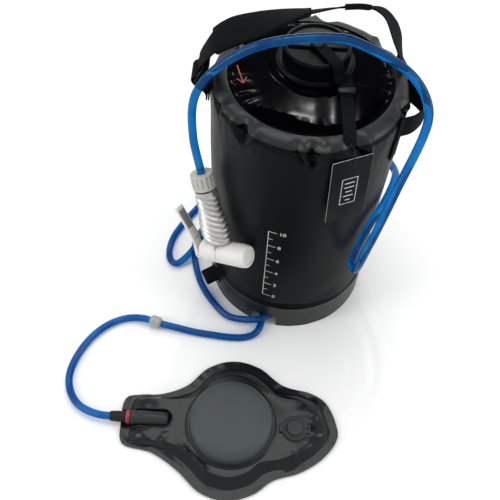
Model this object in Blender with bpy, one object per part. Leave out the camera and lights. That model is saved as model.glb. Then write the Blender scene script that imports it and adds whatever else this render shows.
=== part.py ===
"""Camp shower bag: a standing drum of coated sheet with a foot pump, two hoses and a trigger shower head.

Metres, +Z up. The origin is the middle of the bag's base, where it stands on the ground.
"""
import math

import bmesh
import bpy
from mathutils import Matrix, Vector

# Sheet, webbing and gaps
SHEET = 0.0015                 # coated sheet of the bag and the pump
SEAT = 0.0003                  # gap kept between two pieces that touch
WEBBING = 0.0020               # thickness of the strap webbing
WEBBING_WIDTH = 0.030

# The bag
BAG_RADIUS = 0.1178            # outside of the base skirt and the rim hem
BAG_HEIGHT = 0.3890            # top of the rim hem
SKIRT_HEIGHT = 0.0500
RECESS_WIDTH = 0.0338          # ring round the base, raised to leave room for the fittings
RECESS_SLOPE = 0.0120
RECESS_HEIGHT = 0.0260
HEM_HEIGHT = 0.0270
SHOULDER_RISE = 0.0155         # height and width of the rounded shoulder
SHOULDER_WIDTH = 0.0202
WALL_LAP = 0.0020              # the wall ends this far below the shoulder
SEAM_WIDTH = 0.0200
SEAM_ANGLE = math.radians(-30)
NOTCH_LEFT = -0.0500           # opening in the skirt where both hoses leave
NOTCH_RIGHT = -0.0120
NOTCH_HEIGHT = 0.0245
ROUND = 40                     # sides of the large round pieces

WALL_RADIUS = BAG_RADIUS - SHEET - SEAT
RECESS_RADIUS = BAG_RADIUS - RECESS_WIDTH
FOOT_RADIUS = RECESS_RADIUS - RECESS_SLOPE
TOP_RADIUS = BAG_RADIUS - SHOULDER_WIDTH
HEM_BOTTOM = BAG_HEIGHT - HEM_HEIGHT
SHOULDER_Z = BAG_HEIGHT - SHOULDER_RISE
WALL_TOP = SHOULDER_Z - WALL_LAP
PANEL_TOP = BAG_HEIGHT - SHEET - SEAT
RECESS_TOP = RECESS_HEIGHT + SHEET
ON_PANEL = PANEL_TOP + SEAT

# Filling neck and cap
NECK = Vector((0.0050, 0.0280, 0.0))
NECK_BORE = 0.0315
NECK_TUBE = 0.0345
NECK_SPIGOT = 0.0337           # part of the neck that goes through the top panel
NECK_SPIGOT_LENGTH = 0.0060
NECK_FLANGE = 0.0470
NECK_FLANGE_THICKNESS = 0.0020
NECK_STEP = 0.0435
NECK_STEP_TOP = 0.0035         # above the panel
NECK_HEIGHT = 0.0160           # top of the neck tube above the panel
CAP_RADIUS = 0.0400
CAP_CLEARANCE = 0.0005
CAP_LIP = 0.0008               # cap's lower edge above the neck's step
CAP_PLATE = 0.0030
CAP_RIM = 0.0040               # height of the rim and the grip bar over the plate
CAP_RIM_WIDTH = 0.0040
GRIP_BAR_WIDTH = 0.0100
GASKET = 0.0009
GASKET_INNER = 0.0260
GASKET_OUTER = 0.0335
BUTTON_SHAFT = 0.0030
BUTTON_HEAD = 0.0090
BUTTON_FOOT = 0.0080
BUTTON_FOOT_THICKNESS = 0.0013
BUTTON_HEAD_THICKNESS = 0.0017
HOLE_CLEARANCE = 0.0004

NECK_TOP = PANEL_TOP + NECK_HEIGHT
CAP_BOTTOM = PANEL_TOP + SEAT + NECK_STEP_TOP + CAP_LIP
PLATE_BOTTOM = NECK_TOP + SEAT + GASKET + SEAT
PLATE_TOP = PLATE_BOTTOM + CAP_PLATE
CAP_TOP = PLATE_TOP + CAP_RIM

# Leash between the cap and the rim
LEASH_WIDTH = 0.0150
LEASH_UPPER = 0.0012
LEASH_LOWER = 0.0015
SLIDER = Vector((0.0400, -0.0250, 0.0))
SLIDER_WALL = 0.0007
SLIDER_WIDTH = 0.0200
SLIDER_LENGTH = 0.0100
LEASH_LAP = 0.0168             # the lower strap runs this far over the hem
STRAP_Z = CAP_TOP + SEAT + LEASH_UPPER / 2

# Hose fittings under the base
FITTING_INSET = 0.0193         # middle of a fitting inside the skirt
OUTLET_ANGLE = math.radians(-92.3)
INLET_ANGLE = math.radians(-108.3)
OUTLET_SPOUT = Vector((-0.850, -0.527, 0.0)).normalized()
INLET_SPOUT = Vector((-0.120, -0.993, 0.0)).normalized()
OUTLET_SPOUT_Z = 0.0172
INLET_SPOUT_Z = 0.0062
SPOUT_REACH = 0.0127
SPOUT_RADIUS = 0.0052
ELBOW_RADIUS = 0.0062
FITTING_FLANGE = 0.0110
FITTING_FLANGE_THICKNESS = 0.0025
BARREL_RADIUS = 0.0050
BARREL_TOP = 0.0380
WASHER_THICKNESS = 0.0015
NUT_RADIUS = 0.0105
NUT_THICKNESS = 0.0060
FITTING_CLEARANCE = 0.0003

OUTLET = Matrix.Rotation(OUTLET_ANGLE, 3, "Z") @ Vector((BAG_RADIUS - FITTING_INSET, 0.0, 0.0))
INLET = Matrix.Rotation(INLET_ANGLE, 3, "Z") @ Vector((BAG_RADIUS - FITTING_INSET, 0.0, 0.0))

# Handle, loops and tag
RING_OUT = 0.0112              # middle of the ring outside the hem
RING_Y = 0.0030
RING_DROP = 0.0010             # and below the rim
RING_UP = Vector((0.450, 0.0, 0.893)).normalized()
RING_WIDTH = 0.0380
RING_HEIGHT = 0.0200
RING_THICKNESS = 0.0040
RING_SLOT_WIDTH = 0.0310
RING_SLOT_HEIGHT = 0.0110
WRAP_RADIUS = 0.0044           # middle of the webbing round a bar of the ring
SLEEVE_WIDTH = 0.0350
SLEEVE_THICKNESS = 0.0080
KEEPER_WIDTH = 0.0340
KEEPER_THICKNESS = 0.0060
SLOT_CLEARANCE = 0.0004
LOOP_DROP = 0.0210             # middle of the side loop below the rim
TAIL_LENGTH = 0.0300
TAIL_WIDTH = 0.0150
TAG_ANGLE = math.radians(-66)
TAG_WIDTH = 0.0500
TAG_HEIGHT = 0.0950
TAG_THICKNESS = 0.0010
TAG_DROP = 0.0190              # top of the card below the rim
TAG_LEAN = math.radians(5)     # the card stands off the wall at its lower edge
TAG_CORD = 0.0007
STRAP_RADIUS = BAG_RADIUS + SEAT + WEBBING / 2
RING_CENTRE = Vector((-(BAG_RADIUS + RING_OUT), RING_Y, BAG_HEIGHT - RING_DROP))
LOOP_Z = BAG_HEIGHT - LOOP_DROP
TAG_TOP = BAG_HEIGHT - TAG_DROP

# Hoses
HOSE_RADIUS = 0.00525
HOSE_FLOOR = 0.0056            # middle of a hose that lies on the ground
HOSE_SPACING = 0.0262
HOSE_LEAD = 0.0060

# Shower head: X along the spray, Z up the grip, Y across; the origin is where the two axes meet
HEAD_OUT = 0.0237              # the head's origin outside the bag
HEAD_ANGLE = math.radians(-133.167)
HEAD_Z = 0.1679
SPRAY_AXIS = Vector((0.8446, -0.3908, 0.3658)).normalized()
GRIP_AXIS = Vector((-0.2302, 0.3518, 0.9073)).normalized()
HEAD_ORIGIN = Matrix.Rotation(HEAD_ANGLE, 3, "Z") @ Vector((BAG_RADIUS + HEAD_OUT, 0.0, HEAD_Z))
BARREL = 0.01575               # radius of the head's barrel
BARREL_REAR = -0.0290
BARREL_TAPER = 0.0090
REAR_RADIUS = 0.0095
CHAMBER = 0.0110               # radius of the water chamber
REAR_WALL = 0.0075
VALVE_WALL = 0.0075            # near face of the wall that the valve closes
VALVE_WALL_THICKNESS = 0.0020
VALVE_PORT = 0.0035
COLLAR_JOINT = 0.0020
SPIGOT_RADIUS = 0.0128
SPIGOT_END = 0.0160
COLLAR_END = 0.0450
COLLAR_LIP = 0.0015
COLLAR_MOUTH = 0.0112
PLATE_THICKNESS = 0.0030
SPRAY_HOLE = 0.0008
SPRAY_RINGS = ((0.0, 1), (0.0042, 5), (0.0082, 9))
NECK_BOSS = 0.0135             # boss under the grip, cut off flat short of the collar
PORT_RADIUS = 0.0042           # water passage from the grip into the chamber
PORT_X = -0.0035
GRIP_BOTTOM = 0.0178
GRIP_TOP = 0.0960
GRIP_DEPTH = 0.0420
GRIP_BREADTH = 0.0300
GRIP_RIDGES = 9
RIDGE_DEPTH = 0.0016
WATERWAY = 0.0060
GRIP_SPIGOT = 0.0112
GRIP_SPIGOT_END = 0.1065
HOSE_NUT = 0.0150
HOSE_NUT_BOTTOM = 0.0985
HOSE_NUT_TOP = 0.1190
HOSE_NUT_RIBS = 12
NUT_RIB = 0.0011
NUT_WASHER = 0.0015
BARB_FLANGE = 0.0020
BARB_RADIUS = 0.0046
BARB_BORE = 0.0030
LEVER_PIVOT = Vector((-0.0350, 0.0, -0.0090))
LEVER_WIDTH = 0.0140
LEVER_EYE = 0.0045
LEVER_PIN = 0.0015
LUG_WIDTH = 0.0080
STEM_RADIUS = 0.0018
STEM_REAR = -0.0331
STEM_FLANGE = 0.0045
VALVE_DISC = 0.0052
SPRING_COIL = 0.0032
SPRING_WIRE = 0.0006
SPRING_TURNS = 5

# Foot pump
PUMP = Vector((-0.0685, -0.2830, 0.0))
PUMP_OUTLINE = ((-0.149, 0.033), (-0.1515, -0.008), (-0.146, -0.031), (-0.103, -0.042), (-0.068, -0.063),
                (-0.035, -0.090), (0.0, -0.0985), (0.035, -0.088), (0.060, -0.069), (0.096, -0.056),
                (0.128, -0.034), (0.147, -0.006), (0.145, 0.015), (0.131, 0.044), (0.112, 0.056),
                (0.070, 0.066), (0.035, 0.091), (-0.002, 0.099), (-0.038, 0.086), (-0.066, 0.057),
                (-0.100, 0.042), (-0.130, 0.039))
PUMP_POINTS = 40
PUMP_MARGIN = 0.0120           # welded edge, flat on the base skin
PUMP_RISE = 0.0118             # how far the top skin stands over its edge
DOME_RADIUS = 0.0562
DOME_TOP = 0.0402
DOME_FLANGE_WIDTH = 0.0038
DOME_GAP = 0.0003
DOME_NECK = 0.0010             # wall of the ring's neck, which goes through the top skin
DOME_HOLE_ROOM = 0.0006        # the skin's hole is this much wider than the ring's neck needs
DOME_RING_WIDTH = 0.0068
DOME_RING_THICKNESS = 0.0022
PRESS_RADIUS = 0.0380
PRESS_THICKNESS = 0.0022
PUMP_SPRING = 0.0220
PUMP_SPRING_WIRE = 0.0011
PUMP_SPRING_TURNS = 5
VALVE_Y = -0.2805
VALVE_Z = 0.0118
VALVE_LEFT = -0.2060
VALVE_RIGHT = -0.1540
VALVE_RADIUS = 0.0100
VALVE_BORE = 0.0075
VALVE_END_WALL = 0.0030
VALVE_SEAT_X = -0.1860
VALVE_SEAT_WALL = 0.0020
VALVE_SEAT_PORT = 0.0040
FLAP_RADIUS = 0.0068
FLAP_THICKNESS = 0.0012
VALVE_WINDOW = 0.0135          # half width of the opening in the top skin
SPIGOT = 0.0042
SPIGOT_REACH = 0.0140
PUMP_RING_RADIUS = 0.0098
PUMP_RING_LENGTH = 0.0062
SLEEVE_RADIUS = 0.0075
SLEEVE_LENGTH = 0.0217
PLUG = Vector((0.0187, -0.2843, 0.0))
PLUG_FLANGE = 0.0185
PLUG_NECK = 0.0108
PLUG_BORE = 0.0090
PLUG_FLANGE_THICKNESS = 0.0020
PLUG_NECK_BOTTOM = 0.0080
PLUG_GRID = 0.0015
PLUG_CAP = 0.0175
PLUG_CAP_THICKNESS = 0.0025
PLUG_BOSS = 0.0115
PLUG_BOSS_TOP = 0.0030
PLUG_STUB = 0.0062
PLUG_HINGE_X = -0.0030
PLUG_TAB_WIDTH = 0.0120
PLUG_EYELET = 0.0165           # eyelet beyond the middle of the cap
INTAKE_HOLE = 0.0016
INTAKE_RING = 0.0052
INTAKE_FLAP = 0.0080

SKIN_TOP = SHEET + SEAT + PUMP_RISE + SHEET
DOME_FLANGE = DOME_RADIUS + DOME_FLANGE_WIDTH
DOME_HOLE = DOME_RADIUS + DOME_GAP + DOME_NECK
DOME_RING = DOME_RADIUS + DOME_RING_WIDTH

# One-way valve in the pump hose
CHECK = Vector((-0.1915, -0.1300, 0.0094))
CHECK_AXIS = Vector((0.964, -0.264, 0.0)).normalized()
CHECK_RADIUS = 0.0090
CHECK_HALF = 0.0088
CHECK_BORE = 0.0062
CHECK_PORT = 0.0022
CHECK_WALL = 0.0022
CHECK_DISC = 0.0048
CHECK_DISC_THICKNESS = 0.0012

# Routes of the hoses, chosen point by point; the first and last points are worked out from the fittings
SHOWER_ROUTE = [
    (-0.0280, -0.1132, 0.0172), (-0.0417, -0.1190, 0.0172), (-0.0816, -0.1115, 0.0064), (-0.1027, -0.0945, 0.0057),
    (-0.1329, -0.0489, 0.0057), (-0.1463, 0.0249, 0.0056), (-0.1089, 0.0897, 0.0056),
    (-0.0588, 0.1306, 0.0056), (-0.0481, 0.1584, 0.0056), (-0.0597, 0.1826, 0.0056),
    (-0.0844, 0.1851, 0.0056), (-0.1071, 0.1579, 0.0056), (-0.1835, 0.0290, 0.0056),
    (-0.1838, -0.0128, 0.0057), (-0.1732, -0.0215, 0.0062), (-0.1520, -0.0050, 0.0152),
    (-0.1360, 0.0304, 0.0205), (-0.1290, 0.0560, 0.0310), (-0.1080, 0.0830, 0.0480),
    (-0.0300, 0.1230, 0.0980), (0.0150, 0.1265, 0.1250), (0.0600, 0.1115, 0.1540),
    (0.0960, 0.0840, 0.1820), (0.1210, 0.0490, 0.2070), (0.1312, 0.0120, 0.2218),
    (0.1284, -0.0120, 0.2309), (0.1085, -0.0610, 0.2320), (0.0950, -0.0810, 0.2220),
    (0.0784, -0.1060, 0.1665), (0.0804, -0.1220, 0.1730), (0.0856, -0.1340, 0.2414),
    (0.1067, -0.1040, 0.3148), (0.1293, -0.0630, 0.3891), (0.1228, -0.0500, 0.4104),
    (0.1014, -0.0350, 0.4307), (0.0474, -0.0220, 0.4532), (0.0218, -0.0220, 0.4596),
    (-0.0543, -0.0220, 0.4468), (-0.1047, -0.0220, 0.4123), (-0.1334, -0.0260, 0.3675),
    (-0.1350, -0.0420, 0.3195)]
PUMP_REAR_ROUTE = [
    (-0.0345, -0.1195, 0.0058), (-0.0375, -0.1295, 0.0056), (-0.0445, -0.1385, 0.0056),
    (-0.0565, -0.1440, 0.0056), (-0.0792, -0.1458, 0.0056), (-0.1078, -0.1435, 0.0056),
    (-0.1350, -0.1405, 0.0058), (-0.1600, -0.1362, 0.0075)]
PUMP_FRONT_ROUTE = [
    (-0.2230, -0.1238, 0.0072), (-0.2400, -0.1262, 0.0057), (-0.2600, -0.1366, 0.0056),
    (-0.2811, -0.1580, 0.0056), (-0.2975, -0.1905, 0.0056), (-0.3030, -0.2210, 0.0056),
    (-0.2975, -0.2450, 0.0057), (-0.2835, -0.2640, 0.0068), (-0.2645, -0.2752, 0.0094)]

BLACK_SHEET = (0.018, 0.019, 0.021)
BLACK_STRAP = (0.010, 0.010, 0.011)
BLACK_PLASTIC = (0.014, 0.014, 0.015)
GREY_SKIN = (0.045, 0.048, 0.050)
GREY_DOME = (0.090, 0.100, 0.102)
GREY_PLASTIC = (0.055, 0.060, 0.062)
WHITE_PLASTIC = (0.620, 0.610, 0.590)
PALE_GREY = (0.420, 0.420, 0.410)
HOSE_BLUE = (0.010, 0.120, 0.420)
RUBBER = (0.020, 0.020, 0.020)
STEEL = (0.560, 0.560, 0.560)
RED = (0.420, 0.030, 0.035)
CLEAR = (0.600, 0.640, 0.660)


def clear_scene():
    for obj in list(bpy.data.objects):
        bpy.data.objects.remove(obj, do_unlink=True)


def material(name, colour, roughness, metallic=0.0):
    mat = bpy.data.materials.new(name)
    mat.use_nodes = True
    shader = mat.node_tree.nodes["Principled BSDF"]
    shader.inputs["Base Color"].default_value = (*colour, 1.0)
    shader.inputs["Roughness"].default_value = roughness
    shader.inputs["Metallic"].default_value = metallic
    return mat


def add(name, bm, look, origin=(0, 0, 0), parent=None):
    """Makes one object of a mesh, with its origin at a chosen point of the mesh's own frame."""
    colour, roughness, metallic = look
    origin = Vector(origin)
    bmesh.ops.remove_doubles(bm, verts=bm.verts, dist=1e-6)
    bmesh.ops.recalc_face_normals(bm, faces=bm.faces)
    bm.transform(Matrix.Translation(-origin))
    mesh = bpy.data.meshes.new(name)
    bm.to_mesh(mesh)
    bm.free()
    mesh.shade_smooth()
    mesh.set_sharp_from_angle(angle=math.radians(35))
    mesh.materials.append(material(name + "_finish", colour, roughness, metallic))
    obj = bpy.data.objects.new(name, mesh)
    bpy.context.scene.collection.objects.link(obj)
    obj.location = origin
    if parent:
        obj.parent = parent
    return obj


def cutter(name, bm, parent=None):
    obj = add(name, bm, (RED, 0.5, 0.0), parent=parent)
    obj.hide_render = True
    obj.display_type = "WIRE"
    return obj


def boolean(obj, tool, operation="DIFFERENCE"):
    modifier = obj.modifiers.new(operation.lower() + "_" + tool.name, "BOOLEAN")
    modifier.operation = operation
    modifier.solver = "EXACT"
    modifier.object = tool


def turned(profile, sides=ROUND, at=(0, 0, 0), axis=(0, 0, 1)):
    """Spins a profile of (radius, height) about an axis; a profile that leaves the axis is closed on itself."""
    bm = bmesh.new()
    verts = [bm.verts.new((radius, 0.0, height)) for radius, height in profile]
    edges = [bm.edges.new(pair) for pair in zip(verts, verts[1:])]
    if profile[0][0] > 1e-9 or profile[-1][0] > 1e-9:
        edges.append(bm.edges.new((verts[-1], verts[0])))
    bmesh.ops.spin(bm, geom=verts + edges, cent=(0, 0, 0), axis=(0, 0, 1), angle=math.tau, steps=sides)
    bmesh.ops.remove_doubles(bm, verts=bm.verts, dist=1e-6)
    turn = Vector((0, 0, 1)).rotation_difference(Vector(axis).normalized()).to_matrix().to_4x4()
    bm.transform(Matrix.Translation(Vector(at)) @ turn)
    return bm


def tube(inner, outer, bottom, top):
    return [(inner, bottom), (outer, bottom), (outer, top), (inner, top)]


def rod(radius, bottom, top):
    return [(0.0, bottom), (radius, bottom), (radius, top), (0.0, top)]


def prism(outline, bottom, top):
    """Extrudes a flat outline of (x, y) from one height to another."""
    bm = bmesh.new()
    face = bm.faces.new([bm.verts.new((x, y, bottom)) for x, y in outline])
    grown = bmesh.ops.extrude_face_region(bm, geom=[face])
    moved = [item for item in grown["geom"] if isinstance(item, bmesh.types.BMVert)]
    bmesh.ops.translate(bm, verts=moved, vec=(0, 0, top - bottom))
    return bm


def box(low, high):
    outline = [(low[0], low[1]), (high[0], low[1]), (high[0], high[1]), (low[0], high[1])]
    return prism(outline, low[2], high[2])


def skin_between(bm, lower, upper):
    count = len(lower)
    for i in range(count):
        j = (i + 1) % count
        bm.faces.new((lower[i], lower[j], upper[j]))
        bm.faces.new((lower[i], upper[j], upper[i]))


def loft(outer, inner=None):
    """Skins sections of equal point count; with an inner stack the solid is open right through."""
    bm = bmesh.new()
    shells = [[[bm.verts.new(p) for p in section] for section in stack] for stack in (outer, inner) if stack]
    for shell in shells:
        for lower, upper in zip(shell, shell[1:]):
            skin_between(bm, lower, upper)
    if inner:
        skin_between(bm, shells[0][0], shells[1][0])
        skin_between(bm, shells[0][-1], shells[1][-1])
    else:
        bm.faces.new(shells[0][0])
        bm.faces.new(shells[0][-1])
    return bm


def band_sections(path, widths, width, thickness):
    """Rectangles across a path of points; widths gives the direction of the band's width at each point."""
    points = [Vector(p) for p in path]
    sections = []
    for i, point in enumerate(points):
        before = points[max(i - 1, 0)]
        after = points[min(i + 1, len(points) - 1)]
        tangent = (after - before).normalized()
        across = Vector(widths[i])
        across = (across - tangent * across.dot(tangent)).normalized()
        out = tangent.cross(across)
        w, t = across * width / 2, out * thickness / 2
        sections.append([point - w - t, point + w - t, point + w + t, point - w + t])
    return sections


def band(path, widths, width, thickness):
    return loft(band_sections(path, widths, width, thickness))


def sleeve(path, widths, outside, inside, part=slice(None)):
    """A band with a slot right through it, over a part of a path; outside and inside are (width, thickness)."""
    return loft(band_sections(path, widths, *outside)[part], band_sections(path, widths, *inside)[part])


def smooth_path(points, step=0.002, closed=False):
    """A smooth curve through the points, finely stepped, with gentle ends."""
    p = [Vector(q) for q in points]
    if closed:
        p = [p[-1]] + p + [p[0], p[1]]
    else:
        p = [2 * p[0] - p[1]] + p + [2 * p[-1] - p[-2]]
    curve = []
    for a, b, c, d in zip(p, p[1:], p[2:], p[3:]):
        t1 = (b - a).length ** 0.5
        t2 = t1 + (c - b).length ** 0.5
        t3 = t2 + (d - c).length ** 0.5
        count = max(2, int((c - b).length / step))
        for i in range(count):
            t = t1 + (t2 - t1) * i / count
            ab = a.lerp(b, t / t1)
            bc = b.lerp(c, (t - t1) / (t2 - t1))
            cd = c.lerp(d, (t - t2) / (t3 - t2))
            abc = ab.lerp(bc, t / t2)
            bcd = bc.lerp(cd, (t - t1) / (t3 - t1))
            curve.append(abc.lerp(bcd, (t - t1) / (t2 - t1)))
    if not closed:
        curve.append(p[-2])
    return curve


def even_points(curve, distances):
    """Points of a curve at the given distances along it."""
    found, run, want = [], 0.0, list(distances)
    for a, b in zip(curve, curve[1:]):
        length = (b - a).length
        while want and run + length >= want[0] - 1e-9:
            found.append(a.lerp(b, (want.pop(0) - run) / length))
        run += length
    return found + [curve[-1]] * len(want)


def path_length(curve):
    return sum((b - a).length for a, b in zip(curve, curve[1:]))


def wire(name, points, radius, look, resolution=2):
    """A round cord, hose or spring along a run of points."""
    curve = bpy.data.curves.new(name, "CURVE")
    curve.dimensions = "3D"
    curve.bevel_depth = radius
    curve.bevel_resolution = resolution
    curve.use_fill_caps = True
    curve.resolution_u = 1
    curve.render_resolution_u = 0
    spline = curve.splines.new("POLY")
    spline.points.add(len(points) - 1)
    for point, co in zip(spline.points, points):
        point.co = (*co, 1.0)
    obj = bpy.data.objects.new(name, curve)
    bpy.context.scene.collection.objects.link(obj)
    colour, roughness, metallic = look
    curve.materials.append(material(name + "_finish", colour, roughness, metallic))
    return obj


def hose(name, route):
    curve = smooth_path(route)
    length = path_length(curve)
    inner = length - 2 * HOSE_LEAD
    count = max(2, round(inner / HOSE_SPACING))
    stops = [0.0] + [HOSE_LEAD + inner * i / count for i in range(count + 1)] + [length]
    print(name, "is", round(length, 3), "m long")
    return wire(name, even_points(curve, stops), HOSE_RADIUS, (HOSE_BLUE, 0.2, 0.0))


def coil(radius, bottom, top, turns, per_turn):
    """Points up a helix about the Z axis."""
    steps = turns * per_turn
    return [Vector((radius * math.cos(math.tau * i / per_turn), radius * math.sin(math.tau * i / per_turn),
                    bottom + (top - bottom) * i / steps)) for i in range(steps + 1)]


def polar(radius, angle, z=0.0):
    return Vector((radius * math.cos(angle), radius * math.sin(angle), z))


def arc(radius, start, end, count):
    return [polar(radius, start + (end - start) * i / count) for i in range(count + 1)]


def shoulder(inset):
    """The rim's rounded shoulder from its foot up to the top panel, moved in by a thickness."""
    across = BAG_RADIUS - TOP_RADIUS - inset
    up = SHOULDER_RISE - inset
    steps = 4
    return [(TOP_RADIUS + across * math.cos(math.pi / 2 * i / steps),
             SHOULDER_Z + up * math.sin(math.pi / 2 * i / steps)) for i in range(steps + 1)]


SHEET_LOOK = (BLACK_SHEET, 0.28, 0.0)
STRAP_LOOK = (BLACK_STRAP, 0.75, 0.0)
PLASTIC_LOOK = (BLACK_PLASTIC, 0.38, 0.0)


def make_bag():
    base = [(0.0, 0.0), (FOOT_RADIUS, 0.0), (RECESS_RADIUS, RECESS_HEIGHT), (WALL_RADIUS, RECESS_HEIGHT),
            (WALL_RADIUS, RECESS_TOP), (RECESS_RADIUS - SHEET / 2, RECESS_TOP), (FOOT_RADIUS - SHEET / 2, SHEET),
            (0.0, SHEET)]
    panel = add("base_panel", turned(base), SHEET_LOOK)
    for centre in (OUTLET, INLET):
        hole = turned(rod(BARREL_RADIUS + FITTING_CLEARANCE, 0.0, BARREL_TOP), 20, centre)
        boolean(panel, cutter("base_hole", hole))

    skirt = add("base_skirt", turned(tube(BAG_RADIUS - SHEET, BAG_RADIUS, 0.0, SKIRT_HEIGHT)), SHEET_LOOK)
    notch = box((NOTCH_LEFT, -1.2 * BAG_RADIUS, -SHEET), (NOTCH_RIGHT, -0.8 * BAG_RADIUS, NOTCH_HEIGHT))
    boolean(skirt, cutter("skirt_notch", notch))

    wall = tube(WALL_RADIUS - SHEET, WALL_RADIUS, RECESS_TOP + SEAT, WALL_TOP)
    add("bag_wall", turned(wall), SHEET_LOOK)

    half = SEAM_WIDTH / 2 / BAG_RADIUS
    low, high = SKIRT_HEIGHT + SEAT, HEM_BOTTOM - SEAT
    outer = arc(BAG_RADIUS, SEAM_ANGLE - half, SEAM_ANGLE + half, 4)
    inner = arc(WALL_RADIUS + SEAT, SEAM_ANGLE + half, SEAM_ANGLE - half, 4)
    add("wall_seam_tape", prism([p.xy for p in outer + inner], low, high), SHEET_LOOK)

    outside = [(BAG_RADIUS, HEM_BOTTOM)] + shoulder(0.0)
    inside = [(BAG_RADIUS - SHEET, HEM_BOTTOM)] + shoulder(SHEET)
    add("rim_hem", turned(outside + inside[::-1]), SHEET_LOOK)

    hole_radius = NECK_SPIGOT + SEAT
    outside = [(WALL_RADIUS, WALL_TOP + SEAT)] + shoulder(SHEET + SEAT) + [(0.0, PANEL_TOP)]
    inside = [(WALL_RADIUS - SHEET, WALL_TOP + SEAT)] + shoulder(2 * SHEET + SEAT) + [(0.0, PANEL_TOP - SHEET)]
    top = turned(inside + outside[::-1])
    top_panel = add("top_panel", top, SHEET_LOOK)
    neck_hole = turned(rod(hole_radius, PANEL_TOP - 3 * SHEET, PANEL_TOP + SHEET), ROUND, NECK)
    boolean(top_panel, cutter("neck_hole", neck_hole))


def make_neck():
    collar = [(NECK_BORE, PANEL_TOP - NECK_SPIGOT_LENGTH), (NECK_SPIGOT, PANEL_TOP - NECK_SPIGOT_LENGTH),
              (NECK_SPIGOT, ON_PANEL), (NECK_FLANGE, ON_PANEL), (NECK_FLANGE, ON_PANEL + NECK_FLANGE_THICKNESS),
              (NECK_STEP, ON_PANEL + NECK_FLANGE_THICKNESS), (NECK_STEP, ON_PANEL + NECK_STEP_TOP),
              (NECK_TUBE, ON_PANEL + NECK_STEP_TOP), (NECK_TUBE, NECK_TOP), (NECK_BORE, NECK_TOP)]
    add("neck_collar", turned(collar, at=NECK), PLASTIC_LOOK)

    bore = NECK_TUBE + CAP_CLEARANCE
    hole = BUTTON_SHAFT + HOLE_CLEARANCE
    edge = 0.0010
    cap = [(bore, CAP_BOTTOM), (CAP_RADIUS - edge, CAP_BOTTOM), (CAP_RADIUS, CAP_BOTTOM + edge),
           (CAP_RADIUS, CAP_TOP - edge), (CAP_RADIUS - edge, CAP_TOP), (hole, CAP_TOP), (hole, PLATE_BOTTOM),
           (bore, PLATE_BOTTOM)]
    filler = add("filler_cap", turned(cap, at=NECK), PLASTIC_LOOK, NECK)
    reach = CAP_RADIUS - CAP_RIM_WIDTH
    start = math.asin(GRIP_BAR_WIDTH / 2 / reach)
    for side in (0.0, math.pi):
        moon = [NECK + p for p in arc(reach, side + start, side + math.pi - start, 14)]
        boolean(filler, cutter("grip_pocket", prism([p.xy for p in moon], PLATE_TOP, CAP_TOP + SHEET)))

    gasket = tube(GASKET_INNER, GASKET_OUTER, NECK_TOP + SEAT, NECK_TOP + SEAT + GASKET)
    add("cap_gasket", turned(gasket, at=NECK), (RUBBER, 0.6, 0.0), NECK)

    head = STRAP_Z + LEASH_UPPER / 2 + SEAT
    foot = PLATE_BOTTOM - SEAT
    button = [(0.0, foot - BUTTON_FOOT_THICKNESS), (BUTTON_FOOT, foot - BUTTON_FOOT_THICKNESS), (BUTTON_FOOT, foot),
              (BUTTON_SHAFT, foot), (BUTTON_SHAFT, head), (BUTTON_HEAD, head),
              (BUTTON_HEAD - 0.0008, head + BUTTON_HEAD_THICKNESS), (0.0, head + BUTTON_HEAD_THICKNESS)]
    add("cap_button", turned(button, 24, NECK), PLASTIC_LOOK, NECK)


def hem_edge():
    """Where the hem's inner edge passes under the leash, on the leash's outer side."""
    return -math.sqrt(TOP_RADIUS ** 2 - (SLIDER.x + SLIDER_WIDTH / 2) ** 2)


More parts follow.
